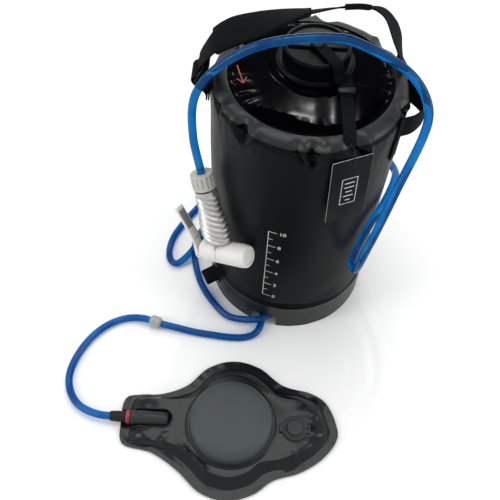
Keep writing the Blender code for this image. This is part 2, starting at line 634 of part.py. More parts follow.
def make_leash():
    along = (SLIDER - NECK).normalized()
    across = Vector((-along.y, along.x, 0.0))
    straight = Vector((0.0, -1.0, 0.0))
    stack = ON_PANEL + SLIDER_WALL + SEAT
    lower_z = stack + LEASH_LOWER / 2
    upper_z = stack + LEASH_LOWER + SEAT + LEASH_UPPER / 2

    def over(distance, height):
        return NECK + along * distance + Vector((0, 0, height))

    upper = [over(-0.0110, STRAP_Z), over(0.0300, STRAP_Z), over(CAP_RADIUS, STRAP_Z),
             over(CAP_RADIUS + 0.0034, STRAP_Z - 0.0030), over(CAP_RADIUS + 0.0052, STRAP_Z - 0.0110),
             over(CAP_RADIUS + 0.0075, upper_z + 0.0060), SLIDER - straight * 0.0160 + Vector((0, 0, upper_z + 0.0022)),
             SLIDER - straight * 0.0090 + Vector((0, 0, upper_z)), SLIDER + straight * 0.0075 + Vector((0, 0, upper_z))]
    sides = [across] * 6 + [Vector((1, 0.25, 0))] + [Vector((1, 0, 0))] * 2
    strap = add("leash_upper", band(upper, sides, LEASH_WIDTH, LEASH_UPPER), STRAP_LOOK, NECK)
    hole = turned(rod(BUTTON_SHAFT + HOLE_CLEARANCE, PLATE_TOP, CAP_TOP + 2 * CAP_RIM), 16, NECK)
    boolean(strap, cutter("leash_hole", hole))

    half_width, half_length = SLIDER_WIDTH / 2, SLIDER_LENGTH / 2
    slot = (LEASH_WIDTH + 2 * SLOT_CLEARANCE, LEASH_LOWER + LEASH_UPPER + 3 * SEAT)
    outside = (2 * half_width, slot[1] + 2 * SLIDER_WALL)
    middle = ON_PANEL + outside[1] / 2
    ends = [SLIDER + Vector((0, half_length, middle)), SLIDER + Vector((0, -half_length, middle))]
    add("leash_slider", sleeve(ends, [(1, 0, 0)] * 2, outside, slot), PLASTIC_LOOK)

    flat_z = ON_PANEL + LEASH_LOWER / 2
    hem_z = BAG_HEIGHT + SEAT + LEASH_LOWER / 2
    hem_y = hem_edge()
    low_x = SLIDER.x + 0.0018
    lower = [SLIDER + Vector((0, 0.0062, lower_z)), SLIDER + Vector((0, -0.0080, lower_z)),
             SLIDER + Vector((0.0004, -0.0170, flat_z)), Vector((low_x, hem_y + 0.0102, flat_z)),
             Vector((low_x, hem_y + 0.0032, hem_z)), Vector((low_x, hem_y - 0.6 * LEASH_LAP, hem_z)),
             Vector((low_x, hem_y - LEASH_LAP, hem_z - 0.0010))]
    add("leash_lower", band(lower, [(1, 0.03, 0)] * 7, LEASH_WIDTH, LEASH_LOWER), STRAP_LOOK)


def make_fitting(name, centre, spout, spout_z):
    """An elbow under the recess, with its washer and nut inside the bag."""
    flange_top = RECESS_HEIGHT - SEAT
    flange_bottom = flange_top - FITTING_FLANGE_THICKNESS
    bottom = spout_z - SPOUT_RADIUS - 0.0002
    body = [(0.0, bottom), (ELBOW_RADIUS, bottom), (ELBOW_RADIUS, flange_bottom), (FITTING_FLANGE, flange_bottom),
            (FITTING_FLANGE, flange_top), (BARREL_RADIUS, flange_top), (BARREL_RADIUS, BARREL_TOP), (0.0, BARREL_TOP)]
    elbow = add(name + "_elbow", turned(body, 20, centre), PLASTIC_LOOK)
    start = centre + Vector((0, 0, spout_z))
    boolean(elbow, cutter(name + "_spout", turned(rod(SPOUT_RADIUS, 0.0, SPOUT_REACH), 16, start, spout)), "UNION")
    washer_z = RECESS_TOP + SEAT
    hole = BARREL_RADIUS + FITTING_CLEARANCE
    washer = tube(hole, NUT_RADIUS, washer_z, washer_z + WASHER_THICKNESS)
    add(name + "_washer", turned(washer, 20, centre), (RUBBER, 0.6, 0.0))
    nut_z = washer_z + WASHER_THICKNESS + SEAT
    outline = [centre + p for p in arc(NUT_RADIUS / math.cos(math.pi / 6), 0.0, math.tau * 5 / 6, 5)]
    nut = add(name + "_nut", prism([p.xy for p in outline], nut_z, nut_z + NUT_THICKNESS), PLASTIC_LOOK)
    boolean(nut, cutter(name + "_nut_hole", turned(rod(hole, nut_z - SHEET, nut_z + 2 * NUT_THICKNESS), 20, centre)))


def wrap(centre, start_side, direction):
    """Half a turn of webbing round one bar of the ring, from one face of the ring to the other."""
    normal = Vector((0, 1, 0)).cross(RING_UP)
    points = []
    for i in range(7):
        angle = math.pi * i / 6
        points.append(centre + normal * start_side * WRAP_RADIUS * math.cos(angle)
                      + RING_UP * direction * WRAP_RADIUS * math.sin(angle))
    return points


def make_handle():
    normal = Vector((0, 1, 0)).cross(RING_UP)
    bar = (RING_SLOT_HEIGHT + RING_HEIGHT) / 4
    upper_bar, lower_bar = RING_CENTRE + RING_UP * bar, RING_CENTRE - RING_UP * bar

    path = [upper_bar + normal * WRAP_RADIUS + RING_UP * 0.0080] + wrap(upper_bar, 1, -1)
    widths = [(0, 1, 0)] * 8
    rim = Vector((0.0, 0.0, BAG_HEIGHT))
    run = [(RING_CENTRE + Vector((0.0065, -0.0005, 0.0215)), (0, 0.97, 0.20)),
           (RING_CENTRE + Vector((0.0180, -0.0020, 0.0390)), (0, 0.92, 0.38)),
           (RING_CENTRE + Vector((0.0374, -0.0030, 0.0540)), (0, 0.90, 0.43)),
           (rim + Vector((-0.0626, 0.0, 0.0650)), (0, 0.93, 0.20)),
           (rim + Vector((-0.0360, 0.0, 0.0760)), (0, 0.93, -0.20)),
           (rim + Vector((-0.0106, 0.0, 0.0845)), (0, 0.85, -0.50)),
           (rim + Vector((0.0251, 0.0, 0.0935)), (0, 0.78, -0.62)),
           (rim + Vector((0.0485, 0.0, 0.0950)), (0, 0.80, -0.60))]
    fall = [(-0.0510, 1.7, 0.0855, (0, 0.88, -0.48)), (-0.0340, 3.4, 0.0620, (0, 0.92, -0.40)),
            (-0.0213, 7.6, 0.0350, (-0.05, 0.93, -0.36)), (-0.0104, 14.9, 0.0110, (-0.15, 0.94, -0.28)),
            (-0.0017, 20.7, -0.0030, (-0.28, 0.95, -0.12)), (0.0016, 22.3, -0.0130, (-0.36, 0.93, 0.0)),
            (0.0, 22.3, -0.0230, (-0.38, 0.925, 0.0)), (0.0, 22.3, -0.0370, (-0.38, 0.925, 0.0))]
    run += [(polar(STRAP_RADIUS + out, math.radians(angle), BAG_HEIGHT + up), side) for out, angle, up, side in fall]
    path += [point for point, _ in run]
    widths += [w for _, w in run]
    add("handle_webbing", band(path, widths, WEBBING_WIDTH, WEBBING), STRAP_LOOK)

    slot = (WEBBING_WIDTH + 2 * SLOT_CLEARANCE, WEBBING + 2 * SLOT_CLEARANCE)
    pad = sleeve(path, widths, (SLEEVE_WIDTH, SLEEVE_THICKNESS), slot, slice(9, 14))
    add("handle_sleeve", pad, STRAP_LOOK)
    keeper = sleeve(path, widths, (KEEPER_WIDTH, KEEPER_THICKNESS), slot, slice(14, 16))
    add("handle_keeper", keeper, STRAP_LOOK)

    turn = Matrix((normal, Vector((0, 1, 0)), RING_UP)).transposed().to_4x4()
    place = Matrix.Translation(RING_CENTRE) @ turn
    plate = box((-RING_THICKNESS / 2, -RING_WIDTH / 2, -RING_HEIGHT / 2),
                (RING_THICKNESS / 2, RING_WIDTH / 2, RING_HEIGHT / 2))
    slot_box = box((-RING_THICKNESS, -RING_SLOT_WIDTH / 2, -RING_SLOT_HEIGHT / 2),
                   (RING_THICKNESS, RING_SLOT_WIDTH / 2, RING_SLOT_HEIGHT / 2))
    plate.transform(place)
    slot_box.transform(place)
    ring = add("handle_ring", plate, PLASTIC_LOOK, RING_CENTRE)
    boolean(ring, cutter("ring_slot", slot_box))

    def tab_point(out, down):
        return Vector((-(STRAP_RADIUS + out), RING_Y, RING_CENTRE.z - down))

    tab = [tab_point(0, 0.0380), tab_point(0, 0.0225), tab_point(0.0040, 0.0158)]
    tab += wrap(lower_bar, 1, 1)
    tab += [lower_bar - normal * WRAP_RADIUS - RING_UP * 0.0038, tab_point(0.0144, 0.0172),
            tab_point(0.0067, 0.0230), tab_point(0.0031, 0.0290), tab_point(0.0031, 0.0380)]
    add("handle_anchor", band(tab, [(0, 1, 0)] * len(tab), WEBBING_WIDTH, WEBBING), STRAP_LOOK)


def make_loops():
    bow = [(0.0, 10.0), (0.0, 5.0), (0.0044, 1.4), (0.0115, -2.6), (0.0168, -6.8), (0.0176, -11.4), (0.0138, -17.1),
           (0.0077, -22.7), (0.0, -27.0), (0.0, -32.0)]
    path = [polar(STRAP_RADIUS + out, math.radians(angle), LOOP_Z) for out, angle in bow]
    add("side_loop", band(path, [(0, 0, 1)] * len(path), WEBBING_WIDTH, WEBBING), STRAP_LOOK)

    top = LOOP_Z - WEBBING_WIDTH / 2 - SEAT
    angle = math.radians(-29.5)
    hang = [polar(STRAP_RADIUS, angle, top - TAIL_LENGTH * i / 2) for i in range(3)]
    add("loop_tail", band(hang, [polar(1, angle + math.pi / 2)] * 3, TAIL_WIDTH, WEBBING), STRAP_LOOK)

    angle = math.radians(-152)
    fold = [(0.0, 0.0010), (0.0022, 0.0038), (0.0179, 0.0075), (0.0205, 0.0090), (0.0205, 0.0112), (0.0179, 0.0122),
            (0.0022, 0.0100), (0.0, 0.0130), (0.0, 0.0210)]
    path = [polar(STRAP_RADIUS + out, angle, SKIRT_HEIGHT - down) for out, down in fold]
    add("lower_tab", band(path, [polar(1, angle + math.pi / 2)] * len(path), 0.0240, WEBBING), STRAP_LOOK)


def make_tag():
    out = polar(1, TAG_ANGLE)
    side = polar(1, TAG_ANGLE + math.pi / 2)
    top = out * (BAG_RADIUS + 2 * SEAT + TAG_THICKNESS / 2) + Vector((0, 0, TAG_TOP))
    down = (out * math.sin(TAG_LEAN) - Vector((0, 0, 1)) * math.cos(TAG_LEAN))
    card = band([top, top + down * TAG_HEIGHT], [side] * 2, TAG_WIDTH, TAG_THICKNESS)
    add("hang_tag", card, ((0.012, 0.013, 0.014), 0.5, 0.0), top)
    rim = Vector((SLIDER.x + 0.0018, hem_edge() - LEASH_LAP - 0.0028, BAG_HEIGHT - 0.0010))
    route = [rim, rim + out * 0.0070 - Vector((0, 0, 0.0022)), out * (BAG_RADIUS + 0.0012) + Vector((0, 0, TAG_TOP + 0.0080)),
             top + Vector((0, 0, TAG_THICKNESS)) + out * TAG_CORD]
    curve = smooth_path(route, 0.001)
    stops = [path_length(curve) * i / 10 for i in range(11)]
    wire("tag_cord", even_points(curve, stops), TAG_CORD, (BLACK_STRAP, 0.7, 0.0))


def head_frame():
    """An empty at the meeting of the spray and grip axes, which carries every piece of the head."""
    frame = bpy.data.objects.new("head_frame", None)
    bpy.context.scene.collection.objects.link(frame)
    across = GRIP_AXIS.cross(SPRAY_AXIS)
    turn = Matrix((SPRAY_AXIS, across, GRIP_AXIS)).transposed().to_4x4()
    frame.matrix_world = Matrix.Translation(HEAD_ORIGIN) @ turn
    return frame


def make_head_body(head):
    along = (1, 0, 0)
    white = (WHITE_PLASTIC, 0.42, 0.0)
    stem_hole = STEM_RADIUS + SEAT
    wall_end = VALVE_WALL + VALVE_WALL_THICKNESS
    chamber_rear = BARREL_REAR + REAR_WALL
    profile = [(stem_hole, BARREL_REAR), (REAR_RADIUS, BARREL_REAR), (BARREL, BARREL_REAR + BARREL_TAPER),
               (BARREL, COLLAR_JOINT), (SPIGOT_RADIUS, COLLAR_JOINT), (SPIGOT_RADIUS, SPIGOT_END),
               (CHAMBER, SPIGOT_END), (CHAMBER, wall_end), (VALVE_PORT, wall_end), (VALVE_PORT, VALVE_WALL),
               (CHAMBER, VALVE_WALL), (CHAMBER, chamber_rear), (stem_hole, chamber_rear)]
    body = add("head_body", turned(profile, 28, axis=along), white, parent=head)
    flat = math.acos((COLLAR_JOINT - SEAT) / NECK_BOSS)
    outline = [p.xy for p in arc(NECK_BOSS, flat, math.tau - flat, 18)]
    boss = prism(outline, CHAMBER + 0.0012, GRIP_BOTTOM - SEAT)
    boolean(body, cutter("head_boss", boss, head), "UNION")
    lug_half = LUG_WIDTH / 2
    lug = box((LEVER_PIVOT.x - 0.0035, -lug_half, LEVER_PIVOT.z - LEVER_EYE),
              (chamber_rear - 0.0010, lug_half, LEVER_PIVOT.z + LEVER_EYE - 0.0010))
    boolean(body, cutter("head_lug", lug, head), "UNION")
    port = turned(rod(PORT_RADIUS, 0.0, GRIP_BOTTOM + SHEET), 16, (PORT_X, 0, 0))
    boolean(body, cutter("head_waterway", port, head))
    pin_hole = turned(rod(LEVER_PIN + SEAT, -LEVER_WIDTH, LEVER_WIDTH), 16, LEVER_PIVOT, (0, 1, 0))
    boolean(body, cutter("head_pin_hole", pin_hole, head))

    reach = LEVER_WIDTH / 2 + 0.0005
    add("lever_pin", turned(rod(LEVER_PIN, -reach, reach), 16, LEVER_PIVOT, (0, 1, 0)), (STEEL, 0.3, 1.0), LEVER_PIVOT,
        head)


def make_grip(head):
    sides, white = 18, (WHITE_PLASTIC, 0.42, 0.0)
    rows = 3 * GRIP_RIDGES + 1
    top_band = 0.0060

    def section(z, swell, ridge):
        ring = []
        for i in range(sides):
            angle = math.tau * i / sides
            x, y = math.cos(angle), math.sin(angle)
            rough = ridge * max(0.0, -x) ** 0.5
            ring.append(((GRIP_DEPTH / 2 * swell - rough) * x, (GRIP_BREADTH / 2 * swell - rough) * y, z))
        return ring

    def round_section(radius, z):
        return [(radius * math.cos(math.tau * i / sides), radius * math.sin(math.tau * i / sides), z)
                for i in range(sides)]

    outer = []
    for row in range(rows):
        share = row / (rows - 1)
        z = GRIP_BOTTOM + (GRIP_TOP - top_band - GRIP_BOTTOM) * share
        swell = 0.80 + 0.20 * math.sin(math.pi * min(1.0, share * 1.25 + 0.12) ** 0.9)
        outer.append(section(z, swell, RIDGE_DEPTH if row % 3 == 0 else 0.0))
    outer += [round_section(HOSE_NUT - 0.0010, GRIP_TOP - 0.7 * top_band), round_section(HOSE_NUT - 0.0010, GRIP_TOP),
              round_section(GRIP_SPIGOT, GRIP_TOP), round_section(GRIP_SPIGOT, GRIP_SPIGOT_END)]
    inner = [round_section(WATERWAY, GRIP_BOTTOM), round_section(WATERWAY, GRIP_SPIGOT_END)]
    add("hand_grip", loft(outer, inner), white, parent=head)

    washer_z = GRIP_SPIGOT_END + SEAT
    flange_z = washer_z + NUT_WASHER + SEAT
    plate_z = flange_z + BARB_FLANGE + SEAT
    add("nut_washer", turned(tube(WATERWAY, GRIP_SPIGOT, washer_z, washer_z + NUT_WASHER), 24), (RUBBER, 0.6, 0.0),
        parent=head)
    barb = [(BARB_BORE, flange_z), (GRIP_SPIGOT, flange_z), (GRIP_SPIGOT, flange_z + BARB_FLANGE),
            (BARB_RADIUS, flange_z + BARB_FLANGE), (BARB_RADIUS, HOSE_NUT_TOP - 0.0010),
            (BARB_BORE, HOSE_NUT_TOP - 0.0010)]
    add("hose_barb", turned(barb, 20), (BLACK_PLASTIC, 0.4, 0.0), parent=head)

    nut_sides = 4 * HOSE_NUT_RIBS

    def rib_section(z, depth):
        ring = []
        for i in range(nut_sides):
            radius = HOSE_NUT - (depth if i % 4 >= 2 else 0.0)
            ring.append(tuple(polar(radius, math.tau * i / nut_sides, z)))
        return ring

    def bore_section(radius, z):
        return [tuple(polar(radius, math.tau * i / nut_sides, z)) for i in range(nut_sides)]

    rim = 0.0030
    outer = [rib_section(HOSE_NUT_BOTTOM, 0.0), rib_section(HOSE_NUT_BOTTOM + rim, 0.0),
             rib_section(HOSE_NUT_BOTTOM + rim, NUT_RIB), rib_section(HOSE_NUT_TOP - 0.0010, NUT_RIB),
             bore_section(HOSE_NUT - 1.5 * NUT_RIB, HOSE_NUT_TOP)]
    inner = [bore_section(GRIP_SPIGOT + 2 * SEAT, HOSE_NUT_BOTTOM), bore_section(GRIP_SPIGOT + 2 * SEAT, plate_z),
             bore_section(BARB_RADIUS + 2 * SEAT, plate_z), bore_section(BARB_RADIUS + 2 * SEAT, HOSE_NUT_TOP)]
    add("hose_nut", loft(outer, inner), white, (0, 0, HOSE_NUT_BOTTOM), head)


def make_nozzle(head):
    along = (1, 0, 0)
    edge = 0.0012
    bore = SPIGOT_RADIUS + SEAT
    plate_front = COLLAR_END - COLLAR_LIP - SEAT
    profile = [(bore, COLLAR_JOINT + SEAT), (BARREL, COLLAR_JOINT + SEAT), (BARREL, COLLAR_END - edge),
               (BARREL - edge, COLLAR_END), (COLLAR_MOUTH, COLLAR_END), (COLLAR_MOUTH, COLLAR_END - COLLAR_LIP),
               (bore, COLLAR_END - COLLAR_LIP)]
    origin = (COLLAR_JOINT, 0, 0)
    add("nozzle_collar", turned(profile, 28, axis=along), (WHITE_PLASTIC, 0.42, 0.0), origin, head)
    disc = turned(rod(SPIGOT_RADIUS, plate_front - PLATE_THICKNESS, plate_front), 24, axis=along)
    plate = add("spray_plate", disc, (PALE_GREY, 0.5, 0.0), origin, head)
    holes = bmesh.new()
    for radius, count in SPRAY_RINGS:
        for i in range(count):
            spot = polar(radius, math.tau * i / count)
            hole = turned(rod(SPRAY_HOLE, plate_front - 2 * PLATE_THICKNESS, plate_front + PLATE_THICKNESS), 6,
                          (0, spot.x, spot.y), along)
            mesh = bpy.data.meshes.new("hole")
            hole.to_mesh(mesh)
            hole.free()
            holes.from_mesh(mesh)
    boolean(plate, cutter("spray_holes", holes, head))


def make_lever(head):
    pivot = LEVER_PIVOT
    eye = [(pivot.x + LEVER_EYE * math.cos(a), pivot.z + LEVER_EYE * math.sin(a))
           for a in (math.radians(-180 + 20 * i) for i in range(10))]
    front = [(-0.0335, -0.0030), (-0.0338, 0.0018), (-0.0352, 0.0120), (-0.0420, 0.0350), (-0.0515, 0.0608)]
    rear = [(-0.0540, 0.0618), (-0.0556, 0.0598), (-0.0461, 0.0360), (-0.0382, 0.0125), (-0.0392, 0.0010)]
    solid = prism([(x, -z) for x, z in eye + front + rear], -LEVER_WIDTH / 2, LEVER_WIDTH / 2)
    solid.transform(Matrix.Rotation(math.radians(-90), 4, "X"))
    lever = add("trigger_lever", solid, (PALE_GREY, 0.45, 0.0), pivot, head)
    half = LUG_WIDTH / 2 + SEAT
    slot = box((pivot.x - 0.0200, -half, pivot.z - 0.0200), (pivot.x + 0.0200, half, pivot.z + LEVER_EYE + 0.0005))
    boolean(lever, cutter("lever_slot", slot, head))
    hole = turned(rod(LEVER_PIN + SEAT, -LEVER_WIDTH, LEVER_WIDTH), 16, pivot, (0, 1, 0))
    boolean(lever, cutter("lever_hole", hole, head))


def make_valve(head):
    along = (1, 0, 0)
    wall_end = VALVE_WALL + VALVE_WALL_THICKNESS
    seal = (wall_end + SEAT, wall_end + 0.0015)
    disc = (seal[1] + SEAT, seal[1] + SEAT + 0.0016)
    flange = (-0.0060, -0.0045)
    stem = [(0.0, STEM_REAR), (STEM_RADIUS, STEM_REAR), (STEM_RADIUS, flange[0]), (STEM_FLANGE, flange[0]),
            (STEM_FLANGE, flange[1]), (STEM_RADIUS, flange[1]), (STEM_RADIUS, disc[0]), (VALVE_DISC, disc[0]),
            (VALVE_DISC, disc[1]), (0.0, disc[1])]
    add("valve_stem", turned(stem, 20, axis=along), (STEEL, 0.3, 1.0), (STEM_REAR, 0, 0), head)
    add("valve_seal", turned(tube(STEM_RADIUS + SEAT, VALVE_DISC, *seal), 20, axis=along), (RUBBER, 0.6, 0.0),
        (STEM_REAR, 0, 0), head)
    start = flange[1] + SEAT + SPRING_WIRE
    points = [Vector((p.z, p.x, p.y)) for p in coil(SPRING_COIL, start, start + 0.0076, SPRING_TURNS, 7)]
    spring = wire("valve_spring", points, SPRING_WIRE, (STEEL, 0.3, 1.0), 1)
    spring.parent = head


def pump_rings():
    """The pump's outline and its place round the dome, at the same headings."""
    outline = [Vector((x, y, 0)) + PUMP for x, y in PUMP_OUTLINE]
    curve = smooth_path(outline, 0.002, closed=True)
    length = path_length(curve + curve[:1])
    outer = even_points(curve + curve[:1], [length * i / PUMP_POINTS for i in range(PUMP_POINTS)])
    inner = [PUMP + (p - PUMP).normalized() * (DOME_HOLE + DOME_HOLE_ROOM) for p in outer]
    return outer, inner


def make_pump_skins():
    skin = (GREY_SKIN, 0.4, 0.0)
    outer, inner = pump_rings()
    add("pump_base_skin", prism([p.xy for p in outer], 0.0, SHEET), skin)

    steps = ((0.0, 0.0), (PUMP_MARGIN, 0.0), (PUMP_MARGIN + 0.0075, 0.70), (PUMP_MARGIN + 0.0155, 1.0))
    base = SHEET + SEAT
    lower, upper = [], []
    for distance, rise in steps:
        ring = []
        for a, b in zip(outer, inner):
            span = (b - a).length
            share = min(1.0, distance / span)
            ring.append(a.lerp(b, share * 0.97 if distance > 0 else 0.0) + Vector((0, 0, base + PUMP_RISE * rise)))
        lower.append(ring)
    lower.append([p + Vector((0, 0, base + PUMP_RISE)) for p in inner])
    upper = [[p + Vector((0, 0, SHEET)) for p in ring] for ring in lower]
    top = add("pump_top_skin", loft(lower, upper), skin)

    window = [PUMP + Vector((-0.170, -VALVE_WINDOW + VALVE_Y - PUMP.y, 0))]
    round_x = VALVE_RIGHT + 0.0060 - VALVE_WINDOW
    window += [Vector((round_x, VALVE_Y, 0)) + p for p in arc(VALVE_WINDOW, -math.pi / 2, math.pi / 2, 10)]
    window += [PUMP + Vector((-0.170, VALVE_WINDOW + VALVE_Y - PUMP.y, 0))]
    boolean(top, cutter("valve_window", prism([p.xy for p in window], base - SEAT / 2, SKIN_TOP + SHEET)))
    hole = turned(rod(PLUG_NECK + SEAT, base + SHEET, SKIN_TOP + SHEET), 24, PLUG)
    boolean(top, cutter("plug_hole", hole))


def make_dome():
    ring_z = SKIN_TOP + SEAT
    hole = DOME_RADIUS + DOME_GAP
    ring = [(hole, SKIN_TOP - SHEET), (DOME_HOLE - SEAT, SKIN_TOP - SHEET), (DOME_HOLE - SEAT, ring_z),
            (DOME_RING, ring_z), (DOME_RING - 0.0010, ring_z + DOME_RING_THICKNESS),
            (hole, ring_z + DOME_RING_THICKNESS)]
    add("dome_ring", turned(ring, at=PUMP), (GREY_SKIN, 0.35, 0.0))

    foot_top = SKIN_TOP - SHEET - SEAT
    foot = foot_top - SHEET
    outside = [(DOME_FLANGE, foot), (DOME_FLANGE, foot_top), (DOME_RADIUS, foot_top), (DOME_RADIUS, DOME_TOP - 0.0100),
               (DOME_RADIUS - 0.0018, DOME_TOP - 0.0048), (DOME_RADIUS - 0.0064, DOME_TOP - 0.0014),
               (DOME_RADIUS - 0.0170, DOME_TOP - 0.0004), (0.0, DOME_TOP)]
    inside = [(DOME_RADIUS - SHEET, foot), (DOME_RADIUS - SHEET, DOME_TOP - 0.0105),
              (DOME_RADIUS - 0.0032, DOME_TOP - 0.0060), (DOME_RADIUS - 0.0072, DOME_TOP - 0.0030),
              (DOME_RADIUS - 0.0170, DOME_TOP - 0.0020), (0.0, DOME_TOP - 0.0017)]
    add("pump_dome", turned(inside[::-1] + outside, at=PUMP), (GREY_DOME, 0.5, 0.0), PUMP + Vector((0, 0, foot)))

    press_top = DOME_TOP - 0.0020 - SEAT
    press = rod(PRESS_RADIUS, press_top - PRESS_THICKNESS, press_top)
    add("pressure_plate", turned(press, 32, PUMP), PLASTIC_LOOK, PUMP + Vector((0, 0, foot)))

    low = SHEET + SEAT + PUMP_SPRING_WIRE
    high = press_top - PRESS_THICKNESS - SEAT - PUMP_SPRING_WIRE
    points = [PUMP + p for p in coil(PUMP_SPRING, low, high, PUMP_SPRING_TURNS, 10)]
    wire("return_spring", points, PUMP_SPRING_WIRE, (STEEL, 0.3, 1.0), 1)


def make_outlet_valve():
    along = (1, 0, 0)
    at = (0.0, VALVE_Y, VALVE_Z)
    grey = (GREY_PLASTIC, 0.4, 0.0)
    port = 0.0030
    profile = [(port, VALVE_LEFT - SPIGOT_REACH), (SPIGOT, VALVE_LEFT - SPIGOT_REACH), (SPIGOT, VALVE_LEFT),
               (VALVE_RADIUS, VALVE_LEFT), (VALVE_RADIUS, VALVE_RIGHT - 0.0015), (VALVE_RADIUS - 0.0015, VALVE_RIGHT),
               (VALVE_BORE, VALVE_RIGHT), (VALVE_BORE, VALVE_SEAT_X + VALVE_SEAT_WALL),
               (VALVE_SEAT_PORT, VALVE_SEAT_X + VALVE_SEAT_WALL), (VALVE_SEAT_PORT, VALVE_SEAT_X),
               (VALVE_BORE, VALVE_SEAT_X), (VALVE_BORE, VALVE_LEFT + VALVE_END_WALL),
               (port, VALVE_LEFT + VALVE_END_WALL)]
    add("outlet_valve_body", turned(profile, 20, at, along), grey)
    flap_right = VALVE_SEAT_X - SEAT
    add("outlet_flap", turned(rod(FLAP_RADIUS, flap_right - FLAP_THICKNESS, flap_right), 20, at, along),
        (RUBBER, 0.6, 0.0), (flap_right, VALVE_Y, VALVE_Z))
    ring_right = VALVE_LEFT - SEAT
    ring = tube(SPIGOT + SEAT, PUMP_RING_RADIUS, ring_right - PUMP_RING_LENGTH, ring_right)
    add("outlet_ring", turned(ring, 24, at, along), (RED, 0.45, 0.0))
    sleeve_right = ring_right - PUMP_RING_LENGTH - SEAT
    profile = [(SPIGOT + SEAT, sleeve_right - SLEEVE_LENGTH), (SLEEVE_RADIUS - 0.0010, sleeve_right - SLEEVE_LENGTH),
               (SLEEVE_RADIUS, sleeve_right - 0.5 * SLEEVE_LENGTH), (SLEEVE_RADIUS, sleeve_right),
               (SPIGOT + SEAT, sleeve_right)]
    add("hose_sleeve", turned(profile, 20, at, along), (BLACK_PLASTIC, 0.5, 0.0))
    return Vector((sleeve_right - SLEEVE_LENGTH - SEAT, VALVE_Y, VALVE_Z))


def make_plug():
    grey = (GREY_PLASTIC, 0.4, 0.0)
    seat_z = SKIN_TOP + SEAT
    seat_top = seat_z + PLUG_FLANGE_THICKNESS
    grid_top = PLUG_NECK_BOTTOM + PLUG_GRID
    seat = [(INTAKE_HOLE, PLUG_NECK_BOTTOM), (PLUG_NECK, PLUG_NECK_BOTTOM), (PLUG_NECK, seat_z), (PLUG_FLANGE, seat_z),
            (PLUG_FLANGE, seat_top), (PLUG_BORE, seat_top), (PLUG_BORE, grid_top), (INTAKE_HOLE, grid_top)]
    body = add("plug_seat", turned(seat, 24, PLUG), grey)
    holes = bmesh.new()
    for i in range(6):
        spot = PLUG + polar(INTAKE_RING, math.tau * i / 6)
        hole = turned(rod(INTAKE_HOLE, PLUG_NECK_BOTTOM - SHEET, grid_top + SHEET), 8, spot)
        mesh = bpy.data.meshes.new("hole")
        hole.to_mesh(mesh)
        hole.free()
        holes.from_mesh(mesh)
    boolean(body, cutter("intake_holes", holes))

    stalk = INTAKE_HOLE - SEAT
    flap_top = PLUG_NECK_BOTTOM - SEAT
    flap = [(0.0, flap_top - FLAP_THICKNESS), (INTAKE_FLAP, flap_top - FLAP_THICKNESS), (INTAKE_FLAP, flap_top),
            (stalk, flap_top), (stalk, grid_top + 0.0024), (0.0, grid_top + 0.0024)]
    add("intake_flap", turned(flap, 20, PLUG), (RUBBER, 0.6, 0.0), PLUG + Vector((0, 0, flap_top)))

    cap_z = seat_top + SEAT
    cap_top = cap_z + PLUG_CAP_THICKNESS
    stub = [(0.0, cap_z - PLUG_STUB + 0.0010), (0.0068, cap_z - PLUG_STUB + 0.0010), (PLUG_BORE - SEAT, cap_z - 0.0010),
            (PLUG_BORE - SEAT, cap_z), (PLUG_CAP, cap_z), (PLUG_CAP, cap_top - 0.0008), (PLUG_CAP - 0.0010, cap_top),
            (PLUG_BOSS, cap_top), (PLUG_BOSS - 0.0010, cap_top + PLUG_BOSS_TOP), (0.0, cap_top + PLUG_BOSS_TOP)]
    hinge = Vector((PLUG_HINGE_X, PLUG.y, cap_z))
    cap = add("plug_cap", turned(stub, 28, PLUG), grey, hinge)
    half = PLUG_TAB_WIDTH / 2
    tab = box((PLUG_HINGE_X, PLUG.y - half, cap_z), (PLUG.x - PLUG_BOSS, PLUG.y + half, cap_z + 0.0018))
    boolean(cap, cutter("plug_tab", tab), "UNION")
    far = PLUG.x + PLUG_EYELET
    eyelet = box((PLUG.x + PLUG_BOSS, PLUG.y - half, cap_z + 0.0004), (far + 0.0050, PLUG.y + half, cap_top - 0.0004))
    boolean(cap, cutter("plug_eyelet", eyelet), "UNION")
    hole = turned(rod(0.0018, cap_z - SHEET, cap_top + SHEET), 12, (far + 0.0010, PLUG.y, 0))
    boolean(cap, cutter("plug_eyelet_hole", hole))


def make_check_valve():
    clear = (CLEAR, 0.2, 0.0)
    profile = [(CHECK_PORT, -CHECK_HALF), (HOSE_RADIUS + 0.0010, -CHECK_HALF), (CHECK_RADIUS, -CHECK_HALF + 0.0030),
               (CHECK_RADIUS, CHECK_HALF - 0.0030), (HOSE_RADIUS + 0.0010, CHECK_HALF), (CHECK_PORT, CHECK_HALF),
               (CHECK_PORT, CHECK_HALF - CHECK_WALL), (CHECK_BORE, CHECK_HALF - CHECK_WALL - 0.0015),
               (CHECK_BORE, -CHECK_HALF + CHECK_WALL), (CHECK_PORT, -CHECK_HALF + CHECK_WALL)]
    add("check_valve_body", turned(profile, 24, CHECK, CHECK_AXIS), clear)
    left = -CHECK_HALF + CHECK_WALL + SEAT
    disc = rod(CHECK_DISC, left, left + CHECK_DISC_THICKNESS)
    add("check_valve_disc", turned(disc, 16, CHECK, CHECK_AXIS), (RUBBER, 0.6, 0.0), CHECK + CHECK_AXIS * left)


